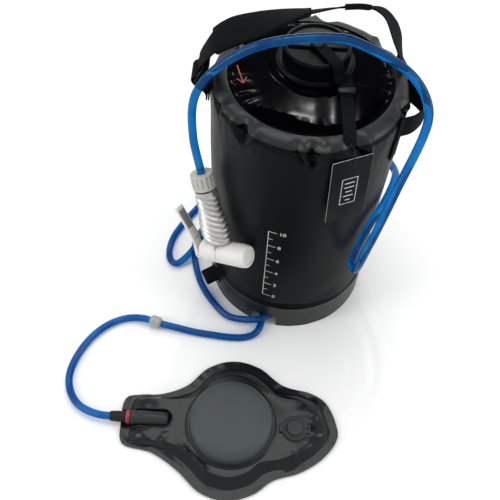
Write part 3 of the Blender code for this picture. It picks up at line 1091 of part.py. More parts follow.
def make_hoses(pump_end):
    face = SPOUT_REACH + SEAT
    out = OUTLET + OUTLET_SPOUT * face + Vector((0, 0, OUTLET_SPOUT_Z))
    nut = HEAD_ORIGIN + GRIP_AXIS * (HOSE_NUT_TOP + SEAT)
    hose("shower_hose", [out] + SHOWER_ROUTE + [nut + GRIP_AXIS * 0.010, nut])
    inlet = INLET + INLET_SPOUT * face + Vector((0, 0, INLET_SPOUT_Z))
    gap = CHECK_HALF + SEAT
    near, far = CHECK + CHECK_AXIS * gap, CHECK - CHECK_AXIS * gap
    hose("pump_hose_rear", [inlet] + PUMP_REAR_ROUTE + [near + CHECK_AXIS * 0.006, near])
    hose("pump_hose_front", [far, far - CHECK_AXIS * 0.006] + PUMP_FRONT_ROUTE + [pump_end - Vector((0.010, 0, 0)), pump_end])


def main():
    clear_scene()
    make_bag()
    make_neck()
    make_leash()
    make_fitting("outlet", OUTLET, OUTLET_SPOUT, OUTLET_SPOUT_Z)
    make_fitting("inlet", INLET, INLET_SPOUT, INLET_SPOUT_Z)
    make_handle()
    make_loops()
    make_tag()
    head = head_frame()
    make_head_body(head)
    make_grip(head)
    make_nozzle(head)
    make_lever(head)
    make_valve(head)
    make_pump_skins()
    make_dome()
    pump_end = make_outlet_valve()
    make_plug()
    make_check_valve()
    make_hoses(pump_end)


main()
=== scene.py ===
# %% [markdown]
# # A camp shower bag, dressed for the render
#
# The imported model already holds every solid piece of the shower in metres: the bag stands on the origin,
# the foot pump lies in front of it and a long hose joins the head. This file adds what those plain solids
# leave out: puckered sheet, woven straps, moulded grips and glossy hose. Nearly every new piece stands for
# a solid, and each rides on the moving body that it belongs to.

import math

import bmesh
import bpy
from mathutils import Matrix, Vector, noise


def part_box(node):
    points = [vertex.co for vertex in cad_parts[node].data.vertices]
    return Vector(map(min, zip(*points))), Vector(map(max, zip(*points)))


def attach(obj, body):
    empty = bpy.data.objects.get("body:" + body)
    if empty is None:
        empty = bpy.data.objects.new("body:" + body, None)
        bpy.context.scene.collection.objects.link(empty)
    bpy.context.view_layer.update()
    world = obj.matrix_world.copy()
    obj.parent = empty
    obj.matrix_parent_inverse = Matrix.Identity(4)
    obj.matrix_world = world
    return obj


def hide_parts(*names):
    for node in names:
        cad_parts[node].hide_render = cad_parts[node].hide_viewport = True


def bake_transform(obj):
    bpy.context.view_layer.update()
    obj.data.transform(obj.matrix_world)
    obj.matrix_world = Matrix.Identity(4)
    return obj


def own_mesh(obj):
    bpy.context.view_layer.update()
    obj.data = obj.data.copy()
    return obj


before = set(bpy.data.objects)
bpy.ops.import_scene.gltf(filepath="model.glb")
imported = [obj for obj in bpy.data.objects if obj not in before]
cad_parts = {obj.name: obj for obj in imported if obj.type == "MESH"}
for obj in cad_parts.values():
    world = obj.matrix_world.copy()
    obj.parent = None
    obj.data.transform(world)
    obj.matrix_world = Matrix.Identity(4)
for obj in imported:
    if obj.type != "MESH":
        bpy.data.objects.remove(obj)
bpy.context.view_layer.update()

# %% [markdown]
# ## Camera
#
# A camera is placed by where it stands and by the three directions it carries: to its right, up, and back
# from what it looks at. Writing these as the columns of a matrix is steadier than guessing angles, and
# the small roll of the original picture is kept that way.

# %% Camera
LOOK_DOWN = math.radians(55.36)
ROLL = math.radians(3.68)
forward = Vector((0, math.cos(LOOK_DOWN), -math.sin(LOOK_DOWN)))
level = Vector((1, 0, 0))
over = level.cross(forward)
right = math.cos(ROLL) * level + math.sin(ROLL) * over
up = math.cos(ROLL) * over - math.sin(ROLL) * level
CAMERA_AT = Vector((-0.0578, -0.6293, 0.9367))
camera = bpy.data.objects.new("camera", bpy.data.cameras.new("camera"))
camera.data.lens = 50.4
camera.data.sensor_width = 36.0
turn = Matrix((right, up, -forward)).transposed().to_4x4()
camera.matrix_world = Matrix.Translation(CAMERA_AT) @ turn
bpy.context.scene.collection.objects.link(camera)
bpy.context.scene.camera = camera
print("the camera looks along", [round(value, 3) for value in forward])

# %% [markdown]
# ## Numbers carried by nodes
#
# A material is a little program of nodes. Wiring a Math node for each sum is slow to read, so one small
# class wraps a node's output and answers to +, - and * by adding the node itself. Then a weave can be
# written as one line of arithmetic.


# %% A signal
class Signal:
    """The output of a shader node, used in arithmetic like a number."""

    def __init__(self, owner, socket):
        self.owner = owner
        self.socket = socket

    def math(self, operation, *others):
        inputs = dict(enumerate((self, *others)))
        return self.owner.node("ShaderNodeMath", {"operation": operation}, inputs)

    def other(self, output):
        """Another output of the same node."""
        return Signal(self.owner, self.socket.node.outputs[output])

    def __add__(self, other):
        return self.math("ADD", other)

    __radd__ = __add__

    def __sub__(self, other):
        return self.math("SUBTRACT", other)

    def __rsub__(self, other):
        return self * -1.0 + other

    def __mul__(self, other):
        return self.math("MULTIPLY", other)

    __rmul__ = __mul__

    def sine(self):
        return self.math("SINE")

    def floor(self):
        return self.math("FLOOR")

    def size(self):
        return self.math("ABSOLUTE")

    def remainder(self, other):
        return self.math("FLOORED_MODULO", other)

    def between(self, low, high):
        """0 below low, 1 above high, and a smooth climb from one to the other."""
        settings = {"interpolation_type": "SMOOTHSTEP"}
        return self.owner.node("ShaderNodeMapRange", settings, {0: self, 1: low, 2: high})


# %% [markdown]
# ## Finishes
#
# A finish is one material with its shader. What is the same all over goes straight on the shader's own
# sockets; what varies (colour, roughness, the bump of a grain) is built from signals. Adding and feeding
# nodes is a class of its own, because the background needs it too.


# %% A finish
class Nodes:
    """A tree of nodes that signals add to."""

    def __init__(self, tree):
        self.tree = tree

    def feed(self, socket, value):
        """Links a signal to a socket, or sets the socket to a plain value."""
        if isinstance(value, Signal):
            self.tree.links.new(value.socket, socket)
        else:
            socket.default_value = value

    def node(self, kind, settings=None, inputs=None, output=0):
        """Adds a node: its settings first, then the values or links of its sockets."""
        node = self.tree.nodes.new(kind)
        for key, value in (settings or {}).items():
            setattr(node, key, value)
        for key, value in (inputs or {}).items():
            self.feed(node.inputs[key], value)
        return Signal(self, node.outputs[output])


class Finish(Nodes):
    """A material whose varying looks are written as signals."""

    def __init__(self, name, colour, roughness, **fixed):
        self.material = bpy.data.materials.new(name)
        self.material.use_nodes = True
        super().__init__(self.material.node_tree)
        self.shader = self.tree.nodes["Principled BSDF"]
        self.colour = (*colour, 1.0)
        self.shader.inputs["Base Color"].default_value = self.colour
        self.shader.inputs["Roughness"].default_value = roughness
        for socket, value in fixed.items():
            self.shader.inputs[socket.replace("_", " ")].default_value = value

    def place(self):
        return self.node("ShaderNodeTexCoord", output="Object")

    def noise(self, scale, detail=2.0):
        inputs = {"Vector": self.place(), "Scale": scale, "Detail": detail}
        return self.node("ShaderNodeTexNoise", {}, inputs, "Fac")

    def mix(self, mask, low, high):
        return self.node("ShaderNodeMix", {"data_type": "RGBA"}, {0: mask, 6: low, 7: high}, 2)

    def shade(self, factor):
        """The finish's colour, darker or lighter by a factor."""
        return tuple(value * factor for value in self.colour[:3]) + (1.0,)

    def look(self, **signals):
        """Feeds sockets of the shader, by their names."""
        for socket, value in signals.items():
            self.feed(self.shader.inputs[socket.replace("_", " ")], value)

    def bump(self, height, depth):
        """Bends the light as if the surface rose by height times depth."""
        inputs = {"Height": height, "Distance": depth, "Strength": 1.0}
        self.look(Normal=self.node("ShaderNodeBump", {}, inputs))


# %% [markdown]
# ## The finishes of this shower
#
# Coated sheet has a faint leathery grain and patches that are a little shinier where it was handled.
# Moulded plastic has a much finer grain. A helper makes both, with the scale of the grain in metres so
# that it stays right at any distance.


# %% Sheet and moulded finishes
def grained(name, colour, roughness, grain, depth, patch=0.10, **fixed):
    """A finish with a fine grain of the given size, and slow changes of colour and gloss."""
    finish = Finish(name, colour, roughness, **fixed)
    slow = finish.noise(14.0, 3.0)
    fine = finish.noise(0.6 / grain, 2.0)
    dark, light = finish.shade(1.0 - patch), finish.shade(1.0 + patch)
    finish.look(Base_Color=finish.mix(slow.between(0.3, 0.7), dark, light))
    finish.look(Roughness=slow * 0.10 + fine * 0.06 + (roughness - 0.08))
    finish.bump(fine, depth)
    return finish


WALL = grained("bag wall sheet", (0.003, 0.0036, 0.0044), 0.4, 0.0011, 0.00006, Specular_IOR_Level=0.06)
HEM = grained("bag hem sheet", (0.007, 0.008, 0.0085), 0.34, 0.001, 0.00007, Specular_IOR_Level=0.26)
PANEL = grained("bag top sheet", (0.0006, 0.0006, 0.0012), 0.11, 0.006, 0.00002, Specular_IOR_Level=0.008)
SKIN = grained("pump sheet", (0.0046, 0.0056, 0.0061), 0.2, 0.0012, 0.00008, patch=0.2,
               Specular_IOR_Level=0.21)
DOME = grained("pump dome", (0.048, 0.057, 0.059), 0.48, 0.0006, 0.00005, patch=0.05,
               Specular_IOR_Level=0.2)
VALVE = grained("valve plastic", (0.02, 0.0235, 0.024), 0.4, 0.0006, 0.00004, Specular_IOR_Level=0.2)
BLACK = grained("black plastic", (0.0022, 0.0025, 0.0031), 0.32, 0.0007, 0.00004, Specular_IOR_Level=0.08)
RUBBER = grained("seal rubber", (0.008, 0.008, 0.008), 0.62, 0.0005, 0.00004, Specular_IOR_Level=0.2)
PALE = grained("pale plastic", (0.69, 0.68, 0.65), 0.44, 0.0005, 0.00002, patch=0.03)
NUT = grained("nut plastic", (0.46, 0.45, 0.41), 0.44, 0.0005, 0.00002, patch=0.04)
SILVER = grained("grip plastic", (0.44, 0.435, 0.42), 0.28, 0.0005, 0.00002, patch=0.05, Metallic=0.65)
# Painted shade: this grey goes on the plate on the lever's front, standing in for the shadow inside its
# hollow face.
HOLLOW_SHADE = grained("lever hollow painted shade", (0.2, 0.205, 0.2), 0.45, 0.0005, 0.00002, patch=0.04)
RED = grained("red plastic", (0.22, 0.012, 0.016), 0.4, 0.0006, 0.00003)
CARD = grained("tag card", (0.0048, 0.0056, 0.0066), 0.42, 0.0004, 0.00002, Specular_IOR_Level=0.06)
INK = grained("white ink", (0.68, 0.68, 0.66), 0.55, 0.0005, 0.00001, patch=0.06)
RED_INK = grained("red ink", (0.3, 0.016, 0.012), 0.5, 0.0005, 0.00001, patch=0.1)
print("made", len(bpy.data.materials), "finishes")

# %% [markdown]
# ## Webbing
#
# Strap webbing is woven: cords pass over and under one another. Each strap carries its own map, with u
# across and v along it in metres. A checker of cells picks which cord is on top, and two sine waves give
# the round backs of the cords, so the weave follows every bend of the strap.

# %% Webbing
WEAVE_ACROSS = 0.0016
WEAVE_ALONG = 0.0022


def woven(name, colour):
    """A finish whose weave follows the map of a strap."""
    finish = Finish(name, colour, 0.78, Specular_IOR_Level=0.06)
    uv = finish.node("ShaderNodeUVMap", {"uv_map": "strap"})
    split = finish.node("ShaderNodeSeparateXYZ", {}, {0: uv})
    u = split * (1.0 / WEAVE_ACROSS)
    v = split.other(1) * (1.0 / WEAVE_ALONG)
    over = (u.floor() + v.floor()).remainder(2.0)
    warp = (u * math.pi).sine().size()
    weft = (v * math.pi).sine().size()
    height = over * warp + (1 - over) * weft
    fuzz = finish.noise(2200.0)
    # The colour follows the height of the weave. The dips between cords are darker, which is painted shade,
    # and the cord backs are lighter, which is painted highlight. The fuzz is random tone of the yarn.
    finish.look(Base_Color=finish.mix(height * 0.7 + fuzz * 0.3, finish.shade(0.55), finish.shade(1.35)))
    finish.look(Roughness=height * -0.12 + 0.84)
    finish.bump(height + fuzz * 0.25, 0.00035)
    return finish


STRAP = woven("strap webbing", (0.0032, 0.0035, 0.0042))
print("one cord of the weave is", WEAVE_ACROSS * 1000, "mm wide")

# %% [markdown]
# ## Hose, steel and clear plastic
#
# The hose is see-through blue vinyl. Some light passes through its wall, so a share of transmission is
# set on the shader, with a thin clear coat for the hard bright lines along it. Slow noise stands for the
# thicker and thinner places of a drawn tube.

# %% Hose, steel and clear plastic
HOSE = Finish("blue hose", (0.001, 0.145, 0.44), 0.10, Transmission_Weight=0.76, IOR=1.12,
              Coat_Roughness=0.05)
cloudy = HOSE.noise(42.0, 2.0)
thick_blue, thin_blue = (0.0006, 0.115, 0.39, 1), (0.0018, 0.18, 0.5, 1)
HOSE.look(Base_Color=HOSE.mix(cloudy.between(0.32, 0.68), thick_blue, thin_blue))
HOSE.look(Roughness=cloudy * 0.08 + 0.04, Coat_Weight=cloudy * 0.1 + 0.20)
HOSE.bump(HOSE.noise(160.0, 1.0), 0.00012)

CLEAR = Finish("clear plastic", (0.52, 0.56, 0.57), 0.16, Transmission_Weight=0.55, IOR=1.49)
CLEAR.look(Roughness=CLEAR.noise(300.0) * 0.10 + 0.10)
CLEAR.bump(CLEAR.noise(220.0, 1.0), 0.00010)

STEEL = Finish("steel", (0.56, 0.56, 0.56), 0.30, Metallic=1.0)
STEEL.look(Roughness=STEEL.noise(700.0) * 0.18 + 0.20)
STEEL.bump(STEEL.noise(2400.0), 0.00002)
print("there are", len(bpy.data.materials), "materials now")

# %% [markdown]
# ## Turning a mesh into a piece
#
# Every piece needs a mesh, a finish, the body that it rides on and, where there is one, the solid that it
# stands for. One helper does all of them, so none can be forgotten. The others make a mesh from points,
# join meshes, and run Blender's modifiers over them.


# %% A piece
def placed(name, data):
    """A new object of this data, in the scene."""
    obj = bpy.data.objects.new(name, data)
    bpy.context.scene.collection.objects.link(obj)
    return obj


def carried(obj, replaces, body):
    """Says which body a piece rides on and which solids it stands for."""
    if body:
        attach(obj, body)
    if replaces:
        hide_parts(*replaces)
    return obj


def piece(name, mesh, finish, slot, replaces=(), body="shower_set", sharp=38):
    mesh.name = name
    mesh.materials.clear()
    mesh.materials.append(finish.material)
    mesh.shade_smooth()
    mesh.set_sharp_from_angle(angle=math.radians(sharp))
    print(name, "has", len(mesh.polygons), "faces")
    return carried(placed(name, mesh), replaces, body)


def mesh_of(points, faces, place=None):
    """A mesh of points and faces, moved to its place, with every face turned outwards."""
    mesh = bpy.data.meshes.new("mesh")
    mesh.from_pydata([tuple(point) for point in points], [], faces)
    bm = bmesh.new()
    bm.from_mesh(mesh)
    bmesh.ops.recalc_face_normals(bm, faces=bm.faces)
    bm.to_mesh(mesh)
    bm.free()
    if place is not None:
        mesh.transform(place)
    return mesh


def joined(meshes):
    """One mesh of several."""
    bm = bmesh.new()
    for mesh in meshes:
        bm.from_mesh(mesh)
    whole = bpy.data.meshes.new("mesh")
    bm.to_mesh(whole)
    bm.free()
    return whole


def baked(obj):
    """The mesh that an object shows; the object itself goes."""
    graph = bpy.context.evaluated_depsgraph_get()
    mesh = bpy.data.meshes.new_from_object(obj.evaluated_get(graph))
    bpy.data.objects.remove(obj, do_unlink=True)
    return mesh


def changed(mesh, *steps):
    """Runs modifiers over a mesh; each step is a modifier's kind and its settings."""
    obj = placed("work", mesh)
    for kind, settings in steps:
        modifier = obj.modifiers.new(kind, kind)
        for key, value in settings.items():
            setattr(modifier, key, value)
    return baked(obj)


def cut(mesh, *tools):
    """Takes tools out of a mesh."""
    for tool in tools:
        obj = placed("tool", tool)
        settings = {"operation": "DIFFERENCE", "solver": "EXACT", "object": obj}
        mesh = changed(mesh, ("BOOLEAN", settings))
        bpy.data.objects.remove(obj, do_unlink=True)
    return mesh


def fused(meshes, voxel, relax=6):
    """Melts overlapping shapes into one, with the soft inside corners of a moulding."""
    return changed(joined(meshes), ("REMESH", {"mode": "VOXEL", "voxel_size": voxel}),
                   ("SMOOTH", {"factor": 0.5, "iterations": relax}))


# %% [markdown]
# ## Round pieces
#
# Caps, rings and tubes are turned: a profile of (radius, height) is spun about an axis. A real moulding
# has no knife edges, so each corner of the profile is first cut to a small arc, which also catches the
# light. The profiles are written in millimetres, as on a maker's drawing, and turned into metres by one
# helper.


# %% Turning
def mm(*rows):
    """Points in millimetres, as points in metres, rounded to a micrometre."""
    return [tuple(round(value / 1000, 6) for value in row) for row in rows]


def polar(radius, angle, z=0.0):
    """The point at a radius and an angle round the z axis."""
    return Vector((radius * math.cos(angle), radius * math.sin(angle), z))


def arc(x, y, radius, start, end, steps=6):
    """Points on an arc round (x, y), from one angle in degrees to another."""
    turn = [math.radians(start + (end - start) * i / steps) for i in range(steps + 1)]
    return [(x + radius * math.cos(a), y + radius * math.sin(a)) for a in turn]


def ring_faces(count, rows, first=0, closed=True):
    """The faces between rings of count points, or between open rows of them."""
    faces = []
    for row in range(rows):
        low, high = first + row * count, first + (row + 1) * count
        for k in range(count if closed else count - 1):
            j = (k + 1) % count
            faces.append((low + k, low + j, high + j, high + k))
    return faces


def ends_of(points, count):
    """The two faces that close a stack of rings."""
    return [list(range(count)), list(range(len(points) - count, len(points)))]


def softened(profile, radius, closed):
    """Cuts the corners of a profile to small arcs."""
    points = [Vector((r, z)) for r, z in profile]
    count = len(points)
    soft = []
    for i, point in enumerate(points):
        if not closed and i in (0, count - 1):
            soft.append(point)
            continue
        before, after = points[i - 1] - point, points[(i + 1) % count] - point
        reach = min(radius, 0.45 * before.length, 0.45 * after.length)
        start, end = point + before.normalized() * reach, point + after.normalized() * reach
        for t in (0.0, 0.33, 0.67, 1.0):
            soft.append(start.lerp(point, t).lerp(point.lerp(end, t), t))
    return soft


def towards(axis):
    """The turn that takes the z axis to another axis."""
    return Vector((0, 0, 1)).rotation_difference(Vector(axis).normalized()).to_matrix().to_4x4()


def turned(profile, at=(0, 0, 0), axis=(0, 0, 1), sides=96, edge=0.0006, wave=None):
    """Spins a profile; wave(angle, radius, height) may change the radius on the way round."""
    closed = profile[0][0] > 1e-7 or profile[-1][0] > 1e-7
    soft = softened(profile, edge, closed)
    points, faces, rings = [], [], []
    for r, z in soft:
        ring = []
        for i in range(1 if r < 1e-7 else sides):
            angle = math.tau * i / sides
            radius = wave(angle, r, z) if wave else r
            ring.append(len(points))
            points.append((radius * math.cos(angle), radius * math.sin(angle), z))
        rings.append(ring)
    pairs = list(zip(rings, rings[1:])) + ([(rings[-1], rings[0])] if closed else [])
    for low, high in pairs:
        for i in range(sides):
            j = (i + 1) % sides
            corners = [low[i % len(low)], low[j % len(low)], high[j % len(high)], high[i % len(high)]]
            face = [v for k, v in enumerate(corners) if v != corners[k - 1]]
            if len(face) > 2:
                faces.append(face)
    return mesh_of(points, faces, Matrix.Translation(Vector(at)) @ towards(axis))


def block(low, high, place=None, edge=0.0006):
    """A box with its edges rounded."""
    corners = [(x, y, z) for z in (low[2], high[2]) for y in (low[1], high[1]) for x in (low[0], high[0])]
    faces = [(0, 2, 3, 1), (4, 5, 7, 6), (0, 1, 5, 4), (2, 6, 7, 3), (0, 4, 6, 2), (1, 3, 7, 5)]
    solid = changed(mesh_of(corners, faces), ("BEVEL", {"width": edge, "segments": 3}))
    if place is not None:
        solid.transform(place)
    return solid


def plate(outline, low, high, place=None, edge=0.0004):
    """A flat outline of (x, y) given thickness, with its edges rounded."""
    count = len(outline)
    points = [(x, y, low) for x, y in outline] + [(x, y, high) for x, y in outline]
    faces = [list(range(count)), list(range(count, 2 * count))] + ring_faces(count, 1)
    solid = changed(mesh_of(points, faces), ("BEVEL", {"width": edge, "segments": 2, "angle_limit": 0.9}))
    if place is not None:
        solid.transform(place)
    return solid


# %% [markdown]
# ## Smooth runs
#
# Straps and hoses follow a few given points. A centripetal curve through them never loops or overshoots,
# however uneven the points are, so it suits both a tight fold and a long sweep.


# %% Smooth runs
def smooth(points, step=0.003, closed=False):
    """A curve through the points, as (point, share) pairs; share counts along the points given."""
    p = [Vector(q) for q in points]
    p = [p[-1]] + p + [p[0], p[1]] if closed else [2 * p[0] - p[1]] + p + [2 * p[-1] - p[-2]]
    run = []
    for index, (a, b, c, d) in enumerate(zip(p, p[1:], p[2:], p[3:])):
        t1 = (b - a).length ** 0.5
        t2 = t1 + (c - b).length ** 0.5
        t3 = t2 + (d - c).length ** 0.5
        count = max(2, int((c - b).length / step))
        for i in range(count):
            t = t1 + (t2 - t1) * i / count
            ab, cd = a.lerp(b, t / t1), c.lerp(d, (t - t2) / (t3 - t2))
            bc = b.lerp(c, (t - t1) / (t2 - t1))
            abc, bcd = ab.lerp(bc, t / t2), bc.lerp(cd, (t - t1) / (t3 - t1))
            run.append((abc.lerp(bcd, (t - t1) / (t2 - t1)), index + i / count))
    if not closed:
        run.append((p[-2], len(points) - 1.0))
    return run


def run_length(points):
    """The length of a line through points."""
    return sum((b - a).length for a, b in zip(points, points[1:]))


def even(points, count, closed=False):
    """The same run with evenly spaced points."""
    points = list(points) + (list(points[:1]) if closed else [])
    total = run_length(points)
    wanted = [total * i / (count if closed else count - 1) for i in range(count)]
    found, travelled = [], 0.0
    for a, b in zip(points, points[1:]):
        length = (b - a).length
        while wanted and travelled + length >= wanted[0] - 1e-9:
            found.append(a.lerp(b, (wanted.pop(0) - travelled) / max(length, 1e-9)))
        travelled += length
    return found + [points[-1]] * len(wanted)


# %% [markdown]
# ## Straps
#
# A strap is a thin oblong section carried along its run. The section has rounded edges, and its width
# keeps to a chosen direction at every point, which is what makes a strap look laid or twisted on purpose.


# %% Straps
def strap(path, widths, width, thick, belly=0.0, part=None):
    """A band along a path; belly rounds its two faces, and part keeps a stretch of the given points."""
    run = smooth(path)
    if part:
        run = [(p, share) for p, share in run if part[0] <= share <= part[1]]
    half, deep, edge = width / 2, thick / 2, min(thick * 0.35, 0.0006)
    across = [-half + edge, -0.6 * half, -0.2 * half, 0.2 * half, 0.6 * half, half - edge]
    section = [(x, -deep) for x in across] + [(half, -deep + edge), (half, deep - edge)]
    section += [(x, deep) for x in reversed(across)] + [(-half, deep - edge), (-half, -deep + edge)]
    section = [(x, y * (1 - belly * (x / half) ** 2)) for x, y in section]
    points, marks, along = [], [], 0.0
    for i, (point, share) in enumerate(run):
        ahead = run[min(i + 1, len(run) - 1)][0]
        behind = run[max(i - 1, 0)][0]
        tangent = (ahead - behind).normalized()
        low = min(int(share), len(widths) - 2)
        side = Vector(widths[low]).lerp(Vector(widths[low + 1]), share - low)
        side = (side - tangent * side.dot(tangent)).normalized()
        out = tangent.cross(side)
        along += (point - behind).length if i else 0.0
        points += [point + side * x + out * y for x, y in section]
        marks += [(x + half, along) for x, _ in section]
    mesh = mesh_of(points, ring_faces(len(section), len(run) - 1) + ends_of(points, len(section)))
    layer = mesh.uv_layers.new(name="strap")
    for loop in mesh.loops:
        layer.data[loop.index].uv = marks[loop.vertex_index]
    return mesh


# %% [markdown]
# ## Hoses
#
# The three hoses come before the rest, because their lengths and how far they spread decide whether the
# whole model fits its frame. A curve with a round bevel is the natural hose: its length is exact, and it
# can't kink the way a hand-made tube can. The points are the same ones that the solid hoses follow.

# %% Hoses
SHOWER_ROUTE = mm(
    (-15, -105.3, 17.2), (-28, -113.2, 17.2), (-41.7, -119, 17.2), (-81.6, -111.5, 6.4),
    (-102.7, -94.5, 5.7), (-132.9, -48.9, 5.7), (-146.3, 24.9, 5.6), (-108.9, 89.7, 5.6),
    (-58.8, 130.6, 5.6), (-48.1, 158.4, 5.6), (-59.7, 182.6, 5.6), (-84.4, 185.1, 5.6),
    (-107.1, 157.9, 5.6), (-183.5, 29, 5.6), (-183.8, -12.8, 5.7), (-173.2, -21.5, 6.2), (-152, -5, 15.2),
    (-136, 30.4, 20.5), (-129, 56, 31), (-108, 83, 48), (-30, 123, 98), (15, 126.5, 125), (60, 111.5, 154),
    (96, 84, 182), (121, 49, 207), (131.2, 12, 221.8), (128.4, -12, 230.9), (108.5, -61, 232),
    (95, -81, 222), (78.4, -106, 166.5), (80.4, -122, 173), (85.6, -134, 241.4), (106.7, -104, 314.8),
    (129.3, -63, 389.1), (122.8, -50, 410.4), (101.4, -35, 430.7), (47.4, -22, 453.2), (21.8, -22, 459.6),
    (-54.3, -22, 446.8), (-104.7, -22, 412.3), (-133.4, -26, 367.5), (-135, -42, 319.5),
    (-126.6, -57.7, 285.2), (-124.3, -61.2, 276.1))
REAR_ROUTE = mm(
    (-32.5, -106.4, 6.2), (-34.5, -119.5, 5.8), (-37.5, -129.5, 5.6), (-44.5, -138.5, 5.6),
    (-56.5, -144, 5.6), (-79.2, -145.8, 5.6), (-107.8, -143.5, 5.6), (-135, -140.5, 5.8),
    (-160, -136.2, 7.5), (-176.9, -134, 9.4), (-182.7, -132.4, 9.4))
FRONT_ROUTE = mm(
    (-200.3, -127.6, 9.4), (-206.1, -126, 9.4), (-223, -123.8, 7.2), (-240, -126.2, 5.7),
    (-260, -136.6, 5.6), (-281.1, -158, 5.6), (-297.5, -190.5, 5.6), (-303, -221, 5.6), (-297.5, -245, 5.7),
    (-283.5, -264, 6.8), (-264.5, -275.2, 9.4), (-244.8, -280.5, 11.8), (-234.8, -280.5, 11.8))
HOSE_RADIUS = 0.00525


def rod(name, route, radius):
    """A curve along a route, with a round bevel."""
    curve = bpy.data.curves.new(name, "CURVE")
    curve.dimensions = "3D"
    curve.bevel_depth = radius
    curve.bevel_resolution = 5
    curve.use_fill_caps = True
    run = [point for point, _ in smooth(route, 0.004)]
    spline = curve.splines.new("POLY")
    spline.points.add(len(run) - 1)
    for point, co in zip(spline.points, run):
        point.co = (*co, 1.0)
    spline.use_smooth = True
    print(name, "is", round(run_length(run), 3), "m long")
    return curve


def tube(name, route, radius, finish, replaces=(), body="shower_set"):
    """A round cord that stays a curve."""
    curve = rod(name, route, radius)
    curve.materials.append(finish.material)
    return carried(placed(name, curve), replaces, body)


shower_hose = tube("long_hose", SHOWER_ROUTE, HOSE_RADIUS, HOSE, ["shower_hose"])
rear_hose = tube("pump_hose_to_bag", REAR_ROUTE, HOSE_RADIUS, HOSE, ["pump_hose_rear"])
front_hose = tube("pump_hose_to_pump", FRONT_ROUTE, HOSE_RADIUS, HOSE, ["pump_hose_front"])

# %% [markdown]
# ## The bag's sheet
#
# The drum is welded from flat sheet, and the rim is where the sheet runs out of room: it puckers into
# short cones that are wide at the hem and end in a point below it. The same pucker function moves the
# hem, the top of the wall and the edge of the panel, so the three stay together. Mesh code is used rather
# than a cloth simulation, because each pucker has its own known place.

# %% Puckers
RADIUS = 0.1178
TOP_INNER = 0.0976
SHOULDER_Z = 0.3735
RIM_Z = 0.3890
HEM_Z = 0.3815
PUCKERS = (  # angle at the hem, lean of its point, half width, depth, height of its point
    (-127.5, -2.0, 10.0, 0.0100, 0.360), (-86.0, -1.0, 7.0, 0.0085, 0.354),
    (-95.0, 3.0, 5.0, 0.0060, 0.360), (-60.5, 7.0, 8.5, 0.0085, 0.360), (-17.0, 2.0, 7.0, 0.0055, 0.366),
    (-152.0, 0.0, 6.5, 0.0045, 0.368), (40.0, 1.0, 8.5, 0.0070, 0.359), (83.0, -1.0, 8.0, 0.0080, 0.357),
    (128.0, 1.0, 9.0, 0.0070, 0.361))
DIMPLES = (  # angle, height, size, depth
    (-113.0, 0.3765, 0.0034, 0.0011), (-108.2, 0.3758, 0.0034, 0.0012), (-103.0, 0.3770, 0.0026, 0.0006))


def clamp(value, low=0.0, high=1.0):
    return max(low, min(high, value))


def ease(value):
    """A soft step: 0 below 0, 1 above 1."""
    value = clamp(value)
    return value * value * (3 - 2 * value)


def fabric(x, y, z, seed=0.0):
    """Smooth noise about zero, from -1 to 1."""
    return noise.noise(Vector((x, y, z + 37.0 * seed)))


def pucker(angle, r, z):
    """How far the sheet sinks at the rim, from its puckers."""
    sunk = 0.0
    start = SHOULDER_Z + 0.004
    inwards = ease((r - TOP_INNER + 0.001) / (RADIUS - TOP_INNER)) if z > SHOULDER_Z else 1.0
    for centre, lean, half, depth, tip in PUCKERS:
        down = clamp((start - z) / (start - tip), 0.0, 1.3)
        offset = (math.degrees(angle) - centre - lean * down + 180.0) % 360.0 - 180.0
        width = half * max(0.0, 1.0 - down)
        if width < 0.05 or abs(offset) > 2.2 * half:
            continue
        valley = max(0.0, 1.0 - abs(offset + 0.45 * width) / (0.85 * width)) ** 1.25
        ridge = max(0.0, 1.0 - abs(offset - 0.55 * width) / (0.60 * width))
        fade = ease((1.0 - down) * 2.5)
        sunk += inwards * fade * (0.9 * depth * valley - 0.42 * depth * ridge * ridge)
    return sunk


def dimples(angle, z):
    """How far the sheet sinks at the small dimples under the front of the hem."""
    sunk = 0.0
    for centre, height, size, depth in DIMPLES:
        along = math.radians((math.degrees(angle) - centre + 180.0) % 360.0 - 180.0) * RADIUS
        away = math.hypot(along, z - height) / size
        sunk += depth * math.exp(-away * away * 1.6)
    return sunk


# %% [markdown]
# ## Round skins that aren't quite round
#
# This helper spins a finely stepped profile and lets a function push every point in or out along the
# profile's own normal. Wall, hem, panel, skirt and base all come from it.


# %% A skin
def fine(profile, step=0.0022):
    """A profile stepped finely."""
    points = []
    for (r1, z1), (r2, z2) in zip(profile, profile[1:]):
        count = max(1, round(math.hypot(r2 - r1, z2 - z1) / step))
        points += [(r1 + (r2 - r1) * i / count, z1 + (z2 - z1) * i / count) for i in range(count)]
    return points + [profile[-1]]


def skin(profile, push, thick=0.0015, sides=288):
    """Spins a profile into a sheet; push(angle, r, z) moves its outer face along the normal."""
    count = len(profile)
    rows = []
    for i, (r, z) in enumerate(profile):
        r0, z0 = profile[max(i - 1, 0)]
        r1, z1 = profile[min(i + 1, count - 1)]
        length = math.hypot(r1 - r0, z1 - z0)
        rows.append((r, z, (z1 - z0) / length, -(r1 - r0) / length))
    points = []
    for inset in (0.0, thick):
        for r, z, nr, nz in rows:
            for k in range(sides):
                angle = math.tau * k / sides - math.pi
                move = push(angle, r, z) - inset
                radius = max(0.0, r + nr * move)
                points.append((radius * math.cos(angle), radius * math.sin(angle), z + nz * move))
    other = count * sides
    faces = ring_faces(sides, count - 1) + ring_faces(sides, count - 1, other)
    for row in (0, (count - 1) * sides):
        for k in range(sides):
            j = (k + 1) % sides
            faces.append((row + k, row + j, other + row + j, other + row + k))
    return mesh_of(points, faces)


